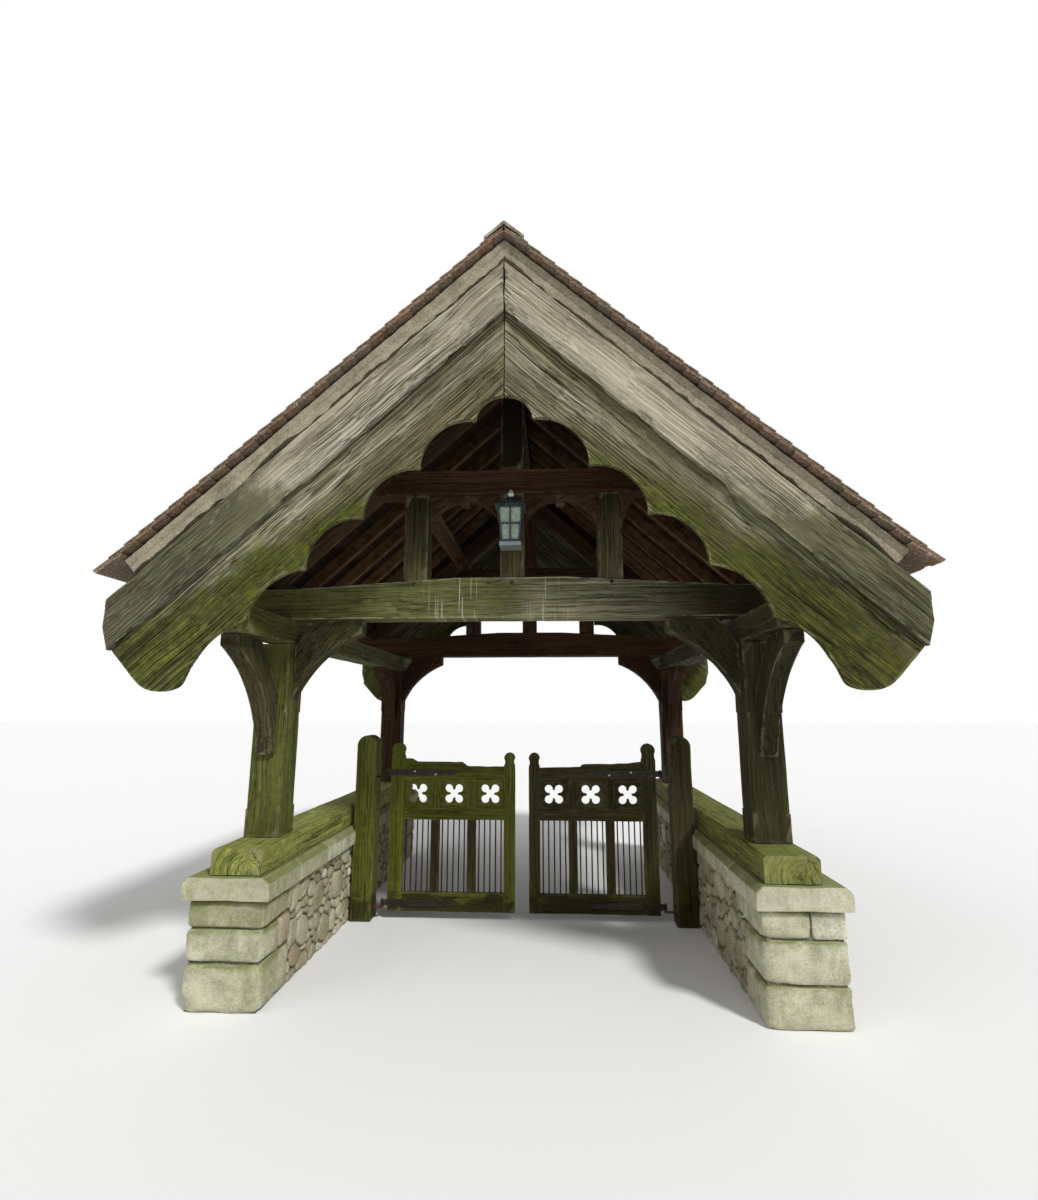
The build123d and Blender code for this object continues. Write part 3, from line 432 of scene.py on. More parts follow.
# The left gate's oak is kept lighter and greener, partly painted light; the right gate's oak darker and
# browner, partly painted shade.
LEFT_GATE_OAK = timber(
    "left_gate_oak", tones=((0.036, 0.037, 0.006), (0.1, 0.106, 0.017), (0.19, 0.2, 0.045)),
    other=(0.09, 0.074, 0.02), greens=((0.08, 0.093, 0.01), (0.165, 0.187, 0.022)), span=(0.0, 1.4),
    growth=(0.62, 0.52), rubbed=(0.18, 0.18, 0.06), muddy=0.8, **ON_GATES,
)
RIGHT_GATE_OAK = timber(
    "right_gate_oak", tones=((0.016, 0.013, 0.005), (0.042, 0.035, 0.014), (0.085, 0.072, 0.032)),
    other=(0.055, 0.036, 0.016), greens=((0.036, 0.039, 0.006), (0.075, 0.08, 0.014)), span=(0.05, 0.9),
    growth=(0.6, 0.3), rubbed=(0.12, 0.105, 0.055), muddy=0.7, **ON_GATES,
)


def stone(name, colours, green, green_amount, bump=0.004):
    """Rough stone with a tone of its own for each block, pale lichen and green growth."""
    finish = Finish(name)
    place = finish.place
    ramp = put(finish.tree, "ShaderNodeValToRGB", {"Fac": finish.kept("tone")})
    stops = ramp.socket.node.color_ramp.elements
    stops[0].color = (*colours[0], 1.0)
    stops[1].color = (*colours[-1], 1.0)
    for index, colour in enumerate(colours[1:-1], 1):
        stops.new(index / (len(colours) - 1)).color = (*colour, 1.0)
    coarse = place.speckle(9.0, 5.0, 0.65)
    fine = place.speckle(70.0, 4.0, 0.6)
    pits = put(finish.tree, "ShaderNodeTexVoronoi", {"Vector": place, "Scale": 85.0})
    stains = place.vector("MULTIPLY", (5.0, 5.0, 1.6)).speckle(1.0, 5.0, 0.65)
    grit = place.speckle(115.0, 4.0, 0.75)
    mask, patches = GREEN_GROWTH.use(place, Amount=green_amount, Up=0.3)
    colour = ramp
    for share, other in (
        (coarse.eased(0.35, 0.7, 0.0, 0.5), (0.13, 0.1, 0.065)),
        (fine.eased(0.45, 0.7, 0.0, 0.4), (0.5, 0.47, 0.37)),
        (pits.eased(0.0, 0.22, 0.5, 0.0), (0.07, 0.06, 0.04)),
        (place.speckle(31.0, 2.0, 0.4).eased(0.66, 0.74, 0.0, 0.4), (0.52, 0.52, 0.43)),
        (stains.eased(0.5, 0.66, 0.0, 0.45), (0.11, 0.1, 0.055)),
        (grit.eased(0.5, 0.68, 0.0, 0.55), (0.12, 0.105, 0.06)),
        (grit.eased(0.44, 0.3, 0.0, 0.45), (0.62, 0.6, 0.48)),
        (mask * 0.8, patches.mix(green, (0.2, 0.22, 0.055))),
        (EDGE_WEAR.use(place, Amount=0.5)[0], (0.5, 0.47, 0.38)),
    ):
        colour = share.mix(colour, other)
    height = coarse + fine * 0.35 - grit * 0.3 + patches * 0.3
    return finish.done(colour, fine.eased(0.3, 0.7, 0.95, 0.78), height, bump, Specular_IOR_Level=0.12)


RUBBLE_STONE = stone(
    "rubble_stone",
    ((0.2, 0.18, 0.1), (0.42, 0.38, 0.23), (0.3, 0.28, 0.17), (0.56, 0.53, 0.37), (0.37, 0.28, 0.18),
     (0.48, 0.46, 0.31), (0.34, 0.29, 0.18), (0.62, 0.61, 0.47)),
    (0.1, 0.11, 0.026), 0.26, 0.005,
)
QUOIN_STONE = stone(
    "quoin_stone", ((0.45, 0.43, 0.27), (0.6, 0.59, 0.42), (0.72, 0.72, 0.56)),
    (0.1, 0.115, 0.026), 0.42, 0.006,
)
COPING_STONE = stone(
    "coping_stone", ((0.47, 0.46, 0.29), (0.6, 0.59, 0.41), (0.74, 0.74, 0.57)),
    (0.13, 0.145, 0.03), 0.42, 0.005,
)
MORTAR = stone("old_mortar", ((0.36, 0.34, 0.22), (0.6, 0.59, 0.46)), (0.1, 0.105, 0.035), 0.36, 0.008)
VERGE_MORTAR = stone(
    "verge_mortar", ((0.26, 0.22, 0.15), (0.44, 0.39, 0.28)), (0.08, 0.08, 0.022), 0.3, 0.012,
)
# Dark mortar for the wall's core, seen in the joints: partly dirt, partly painted shade of the deep joints.
DIRT_AND_SHADE_MORTAR = stone(
    "dirt_and_shade_mortar", ((0.09, 0.078, 0.05), (0.13, 0.115, 0.075)), (0.06, 0.06, 0.025), 0.3, 0.005,
)
CLAY_TILE = stone(
    "clay_tile",
    ((0.085, 0.045, 0.03), (0.15, 0.075, 0.045), (0.2, 0.105, 0.062), (0.11, 0.068, 0.048),
     (0.17, 0.12, 0.085)),
    (0.07, 0.078, 0.02), 0.3, 0.0015,
)


def black_iron():
    """Black iron with rust in patches and along its edges."""
    finish = Finish("black_iron")
    coarse = finish.place.speckle(26.0, 6.0, 0.7)
    wear = EDGE_WEAR.use(finish.place, Amount=0.9)[0]
    rust = coarse.eased(0.58, 0.7, 0.0, 0.8).most(wear * 0.6)
    brown = finish.place.speckle(150.0, 3.0).mix((0.09, 0.032, 0.012), (0.2, 0.085, 0.035))
    return finish.done(
        rust.mix((0.02, 0.017, 0.012), brown), rust.eased(0.0, 1.0, 0.48, 0.85), coarse, 0.0015,
        Metallic=rust.eased(0.0, 1.0, 0.55, 0.05),
    )


def lantern_metal():
    """Dull dark metal gone pale and green on its edges, with a pale finial and tray."""
    finish = Finish("lantern_metal")
    coarse = finish.place.speckle(60.0, 5.0, 0.65)
    level = finish.place.part(2)
    low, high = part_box("lantern_frame")
    colour = coarse.eased(0.4, 0.65).mix((0.01, 0.014, 0.017), (0.04, 0.055, 0.06))
    colour = EDGE_WEAR.use(finish.place, Amount=0.25)[0].mix(colour, (0.13, 0.165, 0.17))
    colour = level.eased(high[2] - 0.046, high[2] - 0.042).mix(colour, (0.66, 0.68, 0.64))
    colour = level.eased(low[2] + 0.026, low[2] + 0.02, 0.0, 0.7).mix(colour, (0.3, 0.36, 0.35))
    return finish.done(colour, coarse.eased(0.3, 0.7, 0.4, 0.7), coarse, 0.0008, Metallic=0.5)


def lantern_glass():
    """Old dusty glass."""
    finish = Finish("lantern_glass")
    dust = finish.place.speckle(34.0, 4.0, 0.6)
    colour = dust.eased(0.4, 0.7).mix((0.52, 0.66, 0.55), (0.34, 0.4, 0.26))
    roughness = dust.eased(0.35, 0.7, 0.12, 0.5)
    return finish.done(colour, roughness, dust, 0.0006, Transmission_Weight=0.45, IOR=1.45)


def pale_metal():
    """Bright galvanised nails."""
    finish = Finish("pale_metal")
    coarse = finish.place.speckle(160.0, 4.0, 0.6)
    colour = coarse.eased(0.4, 0.65).mix((0.62, 0.62, 0.6), (0.3, 0.31, 0.3))
    return finish.done(colour, coarse.eased(0.3, 0.7, 0.35, 0.6), coarse, 0.0006, Metallic=0.35)


IRON = black_iron()
PALE_METAL = pale_metal()
LANTERN_METAL = lantern_metal()
LANTERN_GLASS = lantern_glass()


# Pieces

def put_in_scene(name, data):
    """A new object in the scene."""
    thing = bpy.data.objects.new(name, data)
    scene.collection.objects.link(thing)
    return thing


def place_piece(name, mesh, slot, materials, body="building", stands_for="", smooth=21.0):
    """Puts a finished mesh in the scene on its body, its gentle bends shaded smooth. The slot is not used."""
    mesh.shade_smooth()
    mesh.set_sharp_from_angle(angle=radians(smooth))
    for material in materials:
        mesh.materials.append(material)
    piece = put_in_scene(name, mesh)
    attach(piece, body)
    if stands_for:
        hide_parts(stands_for)


def opened(mesh):
    """A mesh opened for editing."""
    bm = bmesh.new()
    bm.from_mesh(mesh)
    return bm


def written(name, bm):
    """A new mesh from one that was opened."""
    mesh = bpy.data.meshes.new(name)
    bm.to_mesh(mesh)
    bm.free()
    return mesh


def cad_solids(node):
    """The solids of a CAD node as one clean mesh of flat faces."""
    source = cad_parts[node]
    copy = source.data.copy()
    copy.transform(source.matrix_world)
    bm = opened(copy)
    bpy.data.meshes.remove(copy)
    bmesh.ops.remove_doubles(bm, verts=bm.verts, dist=2e-5)
    bmesh.ops.dissolve_limit(bm, angle_limit=radians(0.8), verts=bm.verts, edges=bm.edges)
    return bm


def outward_mesh(name, points, faces):
    """A mesh of closed solids, its faces turned outwards."""
    mesh = bpy.data.meshes.new(name)
    mesh.from_pydata([tuple(p) for p in points], [], faces)
    bm = opened(mesh)
    bmesh.ops.recalc_face_normals(bm, faces=bm.faces)
    bm.to_mesh(mesh)
    bm.free()
    return mesh


def spot_order(point):
    """A key that sorts points by where they are."""
    return tuple(round(c, 5) for c in point.co)


def loose_parts(bm):
    """The points of each separate solid, in an order that is the same on each run."""
    seen = set()
    parts = []
    for start in bm.verts:
        if start in seen:
            continue
        seen.add(start)
        part = [start]
        for point in part:
            for edge in point.link_edges:
                other = edge.other_vert(point)
                if other not in seen:
                    seen.add(other)
                    part.append(other)
        parts.append(sorted(part, key=spot_order))
    return sorted(parts, key=lambda part: spot_order(part[0]))


def edge_order(edge):
    """A key that puts the longest edge last."""
    start = edge.verts[0].co
    return (round(edge.calc_length(), 3), round(start.x, 3), round(start.y, 3))


def grain_axes(part, curved):
    """The way the grain runs in a solid, and two directions across it."""
    if curved:
        some = [tuple(p.co) for p in part[::3]]
        _, start, end = max(((Vector(a) - Vector(b)).length, a, b) for a in some for b in some)
        along = (Vector(start) - Vector(end)).normalized()
    else:
        edge = max((e for p in part for e in p.link_edges), key=edge_order)
        along = (edge.verts[0].co - edge.verts[1].co).normalized()
    if tuple(along) < (0, 0, 0):
        along.negate()
    aside = Vector((0, 1, 0)) if abs(along.y) < 0.7 else Vector((1, 0, 0))
    across = along.cross(aside).normalized()
    return along, across, along.cross(across).normalized()


def finely(line):
    """Places every few millimetres along a line of points."""
    made = []
    for near, far in zip(line, line[1:]):
        count = max(1, int((far - near).length / 0.004))
        made += [near.lerp(far, k / count) for k in range(count)]
    return made


CRACK_STEPS = 8
CRACK_WIDE = (0.0015, 0.0036)
CRACK_DEEP = (0.008, 0.02)
CRACK_SHORTEST = 0.1
CRACK_GAP = 0.01                # least gap between the ends of two cracks
CRACK_END = 0.03                # least gap from the end of a timber
CRACK_FACE = 0.02               # least area of a face that cracks
RIM_NEAR = 0.006
ROOT_NEAR = 0.003


class Cracks:
    """Thin bent wedges that cut drying cracks, with the lines of their rims and roots."""

    def __init__(self, rng):
        self.rng = rng
        self.points = []
        self.faces = []
        self.rims = []
        self.roots = []
        self.taken = []

    def clear(self, middle, long):
        """Whether a crack keeps off the others."""
        return all(
            (middle - other).length >= (long + reach) / 2 + CRACK_GAP for other, reach in self.taken)

    def add(self, start, along, out, long, wide, deep):
        aside = along.cross(out).normalized()
        bend = self.rng.uniform(0, 90)
        base = len(self.points)
        rims = []
        roots = []
        for index in range(CRACK_STEPS + 1):
            share = index / CRACK_STEPS
            swell = sin(pi * share) ** 0.75
            drift = aside * (0.012 * noise_at(share * 2.1 + bend, bend) * (long / 0.4))
            middle = start + along * (long * share) + drift
            rims.append(middle)
            roots.append(middle - out * (deep * swell + 0.001))
            if index in (0, CRACK_STEPS):
                self.points.append(middle + out * 0.0006)
            else:
                half = aside * (wide * swell / 2 + 0.0003)
                self.points += [middle - half + out * 0.004, middle + half + out * 0.004, roots[-1]]
        last = len(self.points) - 1
        rings = [(base,) * 3, *((a, a + 1, a + 2) for a in range(base + 1, last, 3)), (last,) * 3]
        for near, far in zip(rings, rings[1:]):
            for k, other in ((0, 1), (1, 2), (2, 0)):
                self.faces.append(list(dict.fromkeys((near[k], near[other], far[other], far[k]))))
        self.rims += finely(rims)
        self.roots += finely(roots)
        self.taken.append((start + along * (long / 2), long))


def cut_cracks(bm, cracks, density, longest, extra):
    """Cuts drying cracks along the grain into the larger faces, and gives the new mesh."""
    rng = cracks.rng
    for crack in extra:
        cracks.add(*crack)
    for part in loose_parts(bm):
        along = grain_axes(part, False)[0]
        sides = dict.fromkeys(f for p in part for f in p.link_faces)
        large = [f for f in sides if abs(f.normal.dot(along)) < 0.3 and f.calc_area() > CRACK_FACE]
        large.sort(key=lambda f: (round(f.calc_area(), 4), *(round(c, 3) for c in f.calc_center_median())))
        for face in large:
            out = face.normal.copy()
            aside = along.cross(out).normalized()
            ways = [p.co.dot(along) for p in face.verts]
            wides = [p.co.dot(aside) for p in face.verts]
            low, high = min(ways), max(ways)
            level = out * face.verts[0].co.dot(out)
            for _ in range(int(face.calc_area() * density + rng.random())):
                long = min(rng.uniform(CRACK_SHORTEST, longest), (high - low) * 0.5)
                way = rng.uniform(low + CRACK_END, high - CRACK_END - long)
                side = min(wides) + (max(wides) - min(wides)) * rng.uniform(0.15, 0.85)
                start = along * way + aside * side + level
                wide = rng.uniform(*CRACK_WIDE)
                deep = rng.uniform(*CRACK_DEEP)
                if cracks.clear(start + along * (long / 2), long):
                    cracks.add(start, along, out, long, wide, deep)
    if not cracks.points:
        return bm
    mesh = written("cut_body", bm)
    body = put_in_scene("cut_body", mesh)
    knife_mesh = outward_mesh("cut_knife", cracks.points, cracks.faces)
    knife = put_in_scene("cut_knife", knife_mesh)
    tool = body.modifiers.new("cracks", "BOOLEAN")
    tool.operation = "DIFFERENCE"
    tool.solver = "EXACT"
    tool.object = knife
    done = bpy.data.meshes.new_from_object(body.evaluated_get(bpy.context.evaluated_depsgraph_get()))
    bm = opened(done)
    for thing in (body, knife):
        bpy.data.objects.remove(thing)
    for used in (mesh, knife_mesh, done):
        bpy.data.meshes.remove(used)
    return bm


def nearness(places):
    """A quick way to ask how near the closest of some places is."""
    tree = KDTree(max(1, len(places)))
    for index, place in enumerate(places):
        tree.insert(place, index)
    tree.balance()
    return lambda co: tree.find(co)[2] if places else 1.0


def ease_edges(bm, width):
    """Rounds the sharp arrises."""
    bmesh.ops.bevel(
        bm, geom=[e for e in bm.edges if e.is_manifold and e.calc_face_angle() > radians(22.0)], offset=width,
        offset_type="OFFSET", segments=2, profile=0.6, affect="EDGES", clamp_overlap=True,
    )


def slice_part(bm, part, axis, step, rng):
    """Cuts a solid into short lengths along an axis, so that its surface can be uneven."""
    ways = [p.co.dot(axis) for p in part]
    low, high = min(ways), max(ways)
    count = int((high - low) / step)
    geometry = list(dict.fromkeys(g for p in part for g in (p, *p.link_edges, *p.link_faces)))
    for index in range(1, count):
        at = low + (high - low) * (index + rng.uniform(-0.25, 0.25)) / count
        cut = bmesh.ops.bisect_plane(bm, geom=geometry, dist=1e-6, plane_co=axis * at, plane_no=axis)
        geometry = cut["geom"]
    return [g for g in geometry if isinstance(g, bmesh.types.BMVert)]


def weather(name, bm, material, slot, seed, sizes, cracking=(0.0, 0.5), curved=False, extra=(), **placing):
    """Turns clean solids into worn timber with eased, ragged arrises, an uneven face and cracks.

    The sizes are the easing, the cells along and across the grain, the depth of the hollows and of the rags.
    The cracking is the number of cracks in a square metre and the longest one.
    """
    ease, cell, cross_cell, hollow, rag = sizes
    rng = Random(seed)
    cracks = Cracks(rng)
    ease_edges(bm, ease)
    if cracking[0] or extra:
        bm = cut_cracks(bm, cracks, *cracking, extra)
    rim_gap = nearness(cracks.rims)
    root_gap = nearness(cracks.roots)
    grains = bm.loops.layers.float_vector.new("grain")
    tones, wears, crack_shades = [bm.verts.layers.float.new(label) for label in ("tone", "wear", "painted_crack_shade")]
    for part in loose_parts(bm):
        axes = grain_axes(part, curved)
        along = axes[0]
        for axis, step in zip(axes, (cell, cross_cell, cross_cell)):
            part = slice_part(bm, part, axis, step, rng)
        part = sorted(dict.fromkeys(part), key=spot_order)
        tone = rng.random()
        start = Vector((rng.uniform(0, 40), rng.uniform(0, 10), rng.uniform(0, 10)))
        bm.normal_update()
        moves = []
        ways = {}
        reaches = [p.co.dot(along) for p in part]
        low, high = min(reaches), max(reaches)
        for point, reach in zip(part, reaches):
            co = point.co
            way = Vector([co.dot(axis) for axis in axes]) + start
            ways[point] = way
            normals = [f.normal for f in point.link_faces]
            sharp = any(a.dot(b) < 0.97 for a in normals for b in normals)
            rim = rim_gap(co) < RIM_NEAR
            root = root_gap(co) < ROOT_NEAR and rim_gap(co) > RIM_NEAR - 0.0005
            point[tones] = tone
            # The roots of the cracks are marked for painted shade.
            point[crack_shades] = 1.0 if root else 0.0
            point[wears] = 1.0 if sharp and not root and not rim else 0.0
            if root or rim:
                continue
            depth = hollow * (0.5 + 0.5 * noise_at(way.x * 1.4, way.y * 7, way.z * 7))
            depth += hollow * 0.35 * noise_at(way.x * 6, way.y * 31, way.z * 31)
            move = -point.normal * max(0.0, depth)
            flat = point.normal - along * point.normal.dot(along)
            if sharp and flat.length > 0.4:
                eaten = rag
                if rag > 0.01:
                    inward = min(reach - low, high - reach)
                    eaten *= (0.15 if flat.z > 0 else 1.0) * min(1.0, inward / 0.07)
                move -= flat.normalized() * eaten * max(0.0, noise_at(*(way * 7))) * 1.6
            moves.append((point, move))
        pith = sum(ways.values(), Vector()) / len(ways) + Vector((0, rng.uniform(0.04, 0.12), -0.07))
        for face in {f for p in part for f in p.link_faces}:
            cut_end = abs(face.normal.dot(along)) > 0.75
            for corner in face.loops:
                way = ways[corner.vert]
                ring = way - pith
                turn = start.x + 0.3 * atan2(ring.z, ring.y)
                corner[grains] = (turn, start.y + ring.yz.length * 0.8, 0.0) if cut_end else way
        for point, move in moves:
            point.co += move
    place_piece(name, written(name, bm), slot, [material], **placing)


class Pile:
    """Gathers the points and faces of many small solids into one mesh."""

    def __init__(self):
        self.points = []
        self.faces = []
        self.tones = []
        self.wears = []
        self.grains = []
        self.slots = []

    def add(self, points, faces, tone, wears=None, grains=None, slot=0):
        base = len(self.points)
        self.points += [tuple(p) for p in points]
        self.faces += [tuple(base + i for i in face) for face in faces]
        self.tones += [tone] * len(points)
        self.wears += wears or [0.0] * len(points)
        self.grains += grains or [tuple(p) for p in points]
        self.slots += [slot] * len(faces)

    def place(self, name, slot, *materials, **placing):
        """Puts the mesh in the scene as one piece."""
        mesh = outward_mesh(name, self.points, self.faces)
        mesh.attributes.new("tone", "FLOAT", "POINT").data.foreach_set("value", self.tones)
        mesh.attributes.new("wear", "FLOAT", "POINT").data.foreach_set("value", self.wears)
        flat = [c for grain in self.grains for c in grain]
        mesh.attributes.new("grain", "FLOAT_VECTOR", "POINT").data.foreach_set("vector", flat)
        mesh.polygons.foreach_set("material_index", self.slots)
        place_piece(name, mesh, slot, materials, **placing)


def pairs(ring):
    """Each point of a closed outline with the next one."""
    return zip(ring, (*ring[1:], ring[0]))


def tube_faces(rings, wide):
    """Squares between the rings of a closed tube, and a cap at each end."""
    faces = [
        (i * wide + k, i * wide + other, (i + 1) * wide + other, (i + 1) * wide + k)
        for i in range(rings - 1) for k, other in pairs(range(wide))
    ]
    last = (rings - 1) * wide
    return [*faces, tuple(range(wide)), tuple(range(last, last + wide))]


def box(x0, x1, z0, z1):
    """The corners of a rectangle."""
    return [(x0, z0), (x1, z0), (x1, z1), (x0, z1)]


def cube_grid(cuts):
    """Points and faces of a cube from -1 to 1 with each side cut into squares."""
    places = {}
    faces = []
    for i, j, end in product(range(cuts), range(cuts), (0, cuts)):
        for shape in (lambda a, b: (a, b, end), lambda a, b: (a, end, b), lambda a, b: (end, a, b)):
            spots = [shape(*corner) for corner in box(i, i + 1, j, j + 1)]
            faces.append([places.setdefault(spot, len(places)) for spot in spots])
    return [Vector([2 * c / cuts - 1 for c in spot]) for spot in places], faces


SMALL_CUBE, ROUGH_CUBE, FINE_CUBE, BED_CUBE = (cube_grid(cuts) for cuts in (3, 5, 9, 24))


def add_stone(pile, middle, half, rng, power=4.5, rough=0.12, slot=0, grid=ROUGH_CUBE):
    """A rounded, uneven block of stone."""
    seed = Vector([rng.uniform(0, 90) for _ in range(3)])
    points = []
    wears = []
    for q in grid[0]:
        r = q / sum(abs(c) ** power for c in q) ** (1 / power)
        bend = noise.noise_vector(q * 0.7 + seed) * rough * min(half)
        lump = 1 + rough * 0.35 * noise.noise(q * 2.3 + seed) + rough * 0.12 * noise.noise(q * 7.0 + seed)
        place = Vector([a * b for a, b in zip(r, half)]) * lump + bend
        for axis in range(3):
            place[axis] = max(-half[axis], min(half[axis], place[axis]))
        points.append(Vector(middle) + place)
        wears.append(1.0 if sum(abs(c) > 0.95 for c in q) > 1 else 0.0)
    pile.add(points, grid[1], rng.random(), wears, None, slot)


def clip_cell(outline, middle, way):
    """The part of an outline on the near side of a line."""
    made = []
    for start, end in pairs(outline):
        a = (start - middle).dot(way)
        b = (end - middle).dot(way)
        if a <= 0:
            made.append(start)
        if a * b < 0:
            made.append(start.lerp(end, a / (a - b)))
    return made


STONE_LEAST = 0.034
STONE_MOST = 0.125
STONE_TRIES = 9000
STONE_FLAT = 1.35               # how much wider than high the space round a stone is
STONE_PACKING = 0.82
STONE_REACH = 0.32              # how far off another stone can still cut an outline


def stone_cells(wide, tall, rng):
    """Outlines of irregular stones that fill a wall's face, the large ones set first."""
    placed = []
    for index in range(STONE_TRIES):
        large = max(0.0, 1 - index / STONE_TRIES * 1.3)
        size = STONE_LEAST + (STONE_MOST - STONE_LEAST) * large * rng.random()
        spot = Vector((rng.uniform(-wide, wide), rng.uniform(0.0, tall)))
        if all(
            (spot.x - other.x) ** 2 + ((spot.y - other.y) * STONE_FLAT) ** 2
            > (STONE_PACKING * (size + reach)) ** 2
            for other, reach in placed
        ):
            placed.append((spot, size))
    for spot, size in placed:
        outline = [Vector(corner) for corner in box(-wide, wide, 0.0, tall)]
        for other, reach in placed:
            way = other - spot
            gap = way.length
            if 0 < gap < STONE_REACH and len(outline) > 2:
                share = 0.5 + (size * size - reach * reach) / (2 * gap * gap)
                outline = clip_cell(outline, spot + way * share, way)
        if len(outline) > 2:
            yield outline


RUBBLE_RINGS = ((0.95, 0.036), (1.0, 0.022), (0.965, 0.0115), (0.88, 0.005), (0.68, 0.001), (0.35, 0.0))


def add_rubble(pile, outline, shape, rng, joint):
    """One rubble stone on a wall's face: a rounded outline with a domed, uneven front."""
    centre = sum(outline, Vector((0, 0))) / len(outline)
    if min((p - centre).length for p in outline) < 0.014:
        return
    ring = [centre + (p - centre) * (1 - min(0.5, joint / (p - centre).length)) for p in outline]
    for _ in range(2):
        ring = [p.lerp(other, share) for p, other in pairs(ring) for share in (0.22, 0.78)]
    seed = Vector((rng.uniform(0, 90), rng.uniform(0, 90), 0.0))
    sunk = rng.uniform(0.0, 0.008)
    tilt = Vector((rng.uniform(-0.1, 0.1), rng.uniform(-0.1, 0.1)))
    points = []
    wears = []
    count = len(ring)
    for scale, depth in RUBBLE_RINGS:
        for p in ring:
            at = centre + (p - centre) * scale
            lump = 0.006 * noise.noise(Vector((at.x * 24, at.y * 24, 0)) + seed)
            lean = (at - centre).dot(tilt)
            points.append(shape(at.x, at.y, max(0.0, depth + sunk + lean + lump + 0.002)))
            wears.append(1.0 if scale == 0.88 else 0.0)
    last = len(points)
    points.append(shape(centre.x, centre.y, sunk + 0.001))
    faces = tube_faces(len(RUBBLE_RINGS), count)[:-1]
    faces += [(a, b, last) for a, b in pairs(range(last - count, last))]
    pile.add(points, faces, rng.random(), [*wears, 0.0])


QUOINS = {
    "left": ((0.24, 0.36), (0.165, 0.2), (0.145, 0.31)),
    "right": ((0.2, 0.22), (0.21, 0.34), (0.14, 0.25)),
}


def rubble_wall(side, sign, seed):
    """Rubble faces between large squared end stones, over a bed of old mortar."""
    rng = Random(seed)
    pile = Pile()
    deepest = max(deep for _, deep in QUOINS[side])
    for end in (-1, 1):
        level = 0.0
        for tall, deep in QUOINS[side]:
            low = level + (STONE_JOINT if level else 0.0)
            high = level + tall - STONE_JOINT
            rise = (low + high) / 2
            near = WALL_END - deep
            split = WALL_IN + (WALL_OUT - WALL_IN) * rng.choice((0.58, 1.0, 1.0))
            for x0, x1 in ((WALL_IN, split), (split, WALL_OUT)):
                if x1 - x0 < 0.05:
                    continue
                joint = STONE_JOINT if split < WALL_OUT else 0.0
                middle = (sign * (x0 + x1) / 2, end * (near + WALL_END) / 2, rise)
                half = ((x1 - x0) / 2 - joint / 2, deep / 2 - 0.002, (high - low) / 2)
                add_stone(pile, middle, half, rng, 10.0, 0.1, 1, FINE_CUBE)
            gap = deepest - deep
            if gap > 0.03:
                for face in (WALL_IN + 0.05, WALL_OUT - 0.05):
                    half = (0.05, gap / 2 - 0.004, (high - low) / 2)
                    add_stone(pile, (sign * face, end * (near - gap / 2), rise), half, rng)
            level += tall
    for face, way in ((WALL_IN, 1), (WALL_OUT, -1)):
        for outline in stone_cells(WALL_END - deepest, WALL_TOP, rng):
            add_rubble(
                pile, outline, lambda u, v, depth: (sign * (face + way * depth), u, v), rng,
                rng.uniform(0.005, 0.0085),
            )
    pile.place(
        f"{side}_wall_stones", "rubble_stone", RUBBLE_STONE, QUOIN_STONE,
        stands_for=f"{side}_wall", smooth=50.0,
    )
    # The dark bed that shows in the joints carries painted shade as well as dirt.
    bed = Pile()
    half = ((WALL_OUT - WALL_IN) / 2 - 0.024, WALL_END - 0.024, WALL_TOP / 2 - 0.001)
    placed = []
    for q in BED_CUBE[0]:
        lump = 0.006 * noise.noise(Vector((q.x * 4, q.y * 30, q.z * 6)) + Vector((seed, 0, 0)))
        x = sign * (WALL_IN + WALL_OUT) / 2 + q.x * (half[0] + lump)
        placed.append((x, q.y * half[1], WALL_TOP / 2 + q.z * half[2]))
    bed.add(placed, BED_CUBE[1], 0.4)
    bed.place(f"{side}_wall_mortar", "mortar", DIRT_AND_SHADE_MORTAR)


def refined(outline, step):
    """A closed outline with its long edges divided."""
    made = []
    for start, end in pairs(outline):
        run = Vector(end) - Vector(start)
        count = max(1, int(run.length / step))
        made += [Vector(start) + run * (k / count) for k in range(count)]
    return made


def add_bar(pile, outline, near, far, shape, rng, ease, step, cross, rough, ragged=None):
    """A length of one outline with eased ends and an uneven surface. shape turns (a, b, way) into a point."""
    ring = refined(outline, cross)
    centre = sum(ring, Vector((0, 0))) / len(ring)
    count = max(1, int((far - near) / step))
    ways = [near, near + ease, *(near + (far - near) * k / count for k in range(1, count)), far - ease, far]
    seed = rng.uniform(0, 90)
    points = []
    wears = []
    corners = {tuple(round(c, 6) for c in corner) for corner in outline}
    for index, way in enumerate(ways):
        inset = ease if index in (0, len(ways) - 1) else 0.0
        for spot in ring:
            off = spot - centre
            length = max(off.length, 1e-6)
            corner = tuple(round(c, 6) for c in spot) in corners
            at = centre + off * (1 - min(inset, off.length * 0.5) / length)
            if corner:
                at = centre + (at - centre) * (1 - ease * 0.4 / length)
            dent = rough * (0.5 + 0.5 * noise_at(at.x * 14, at.y * 14, way * 4.5 + seed))
            at = centre + (at - centre) * (1 - min(0.4, dent / length))
            if ragged:
                at = ragged(at, way, seed)
            points.append(Vector(shape(at.x, at.y, way)))
            wears.append(1.0 if inset or corner else 0.0)
    grains = [(p[1], p[0], p[2]) for p in points]
    pile.add(points, tube_faces(len(ways), len(ring)), rng.random(), wears, grains)


def on_slope(sign):
    """Turns a way down the slope, a depth below its tiles and a way along the roof into a point."""
    def point(down, depth, way):
        x, z = slope(down, depth)
        return (sign * x, way, z)
    return point


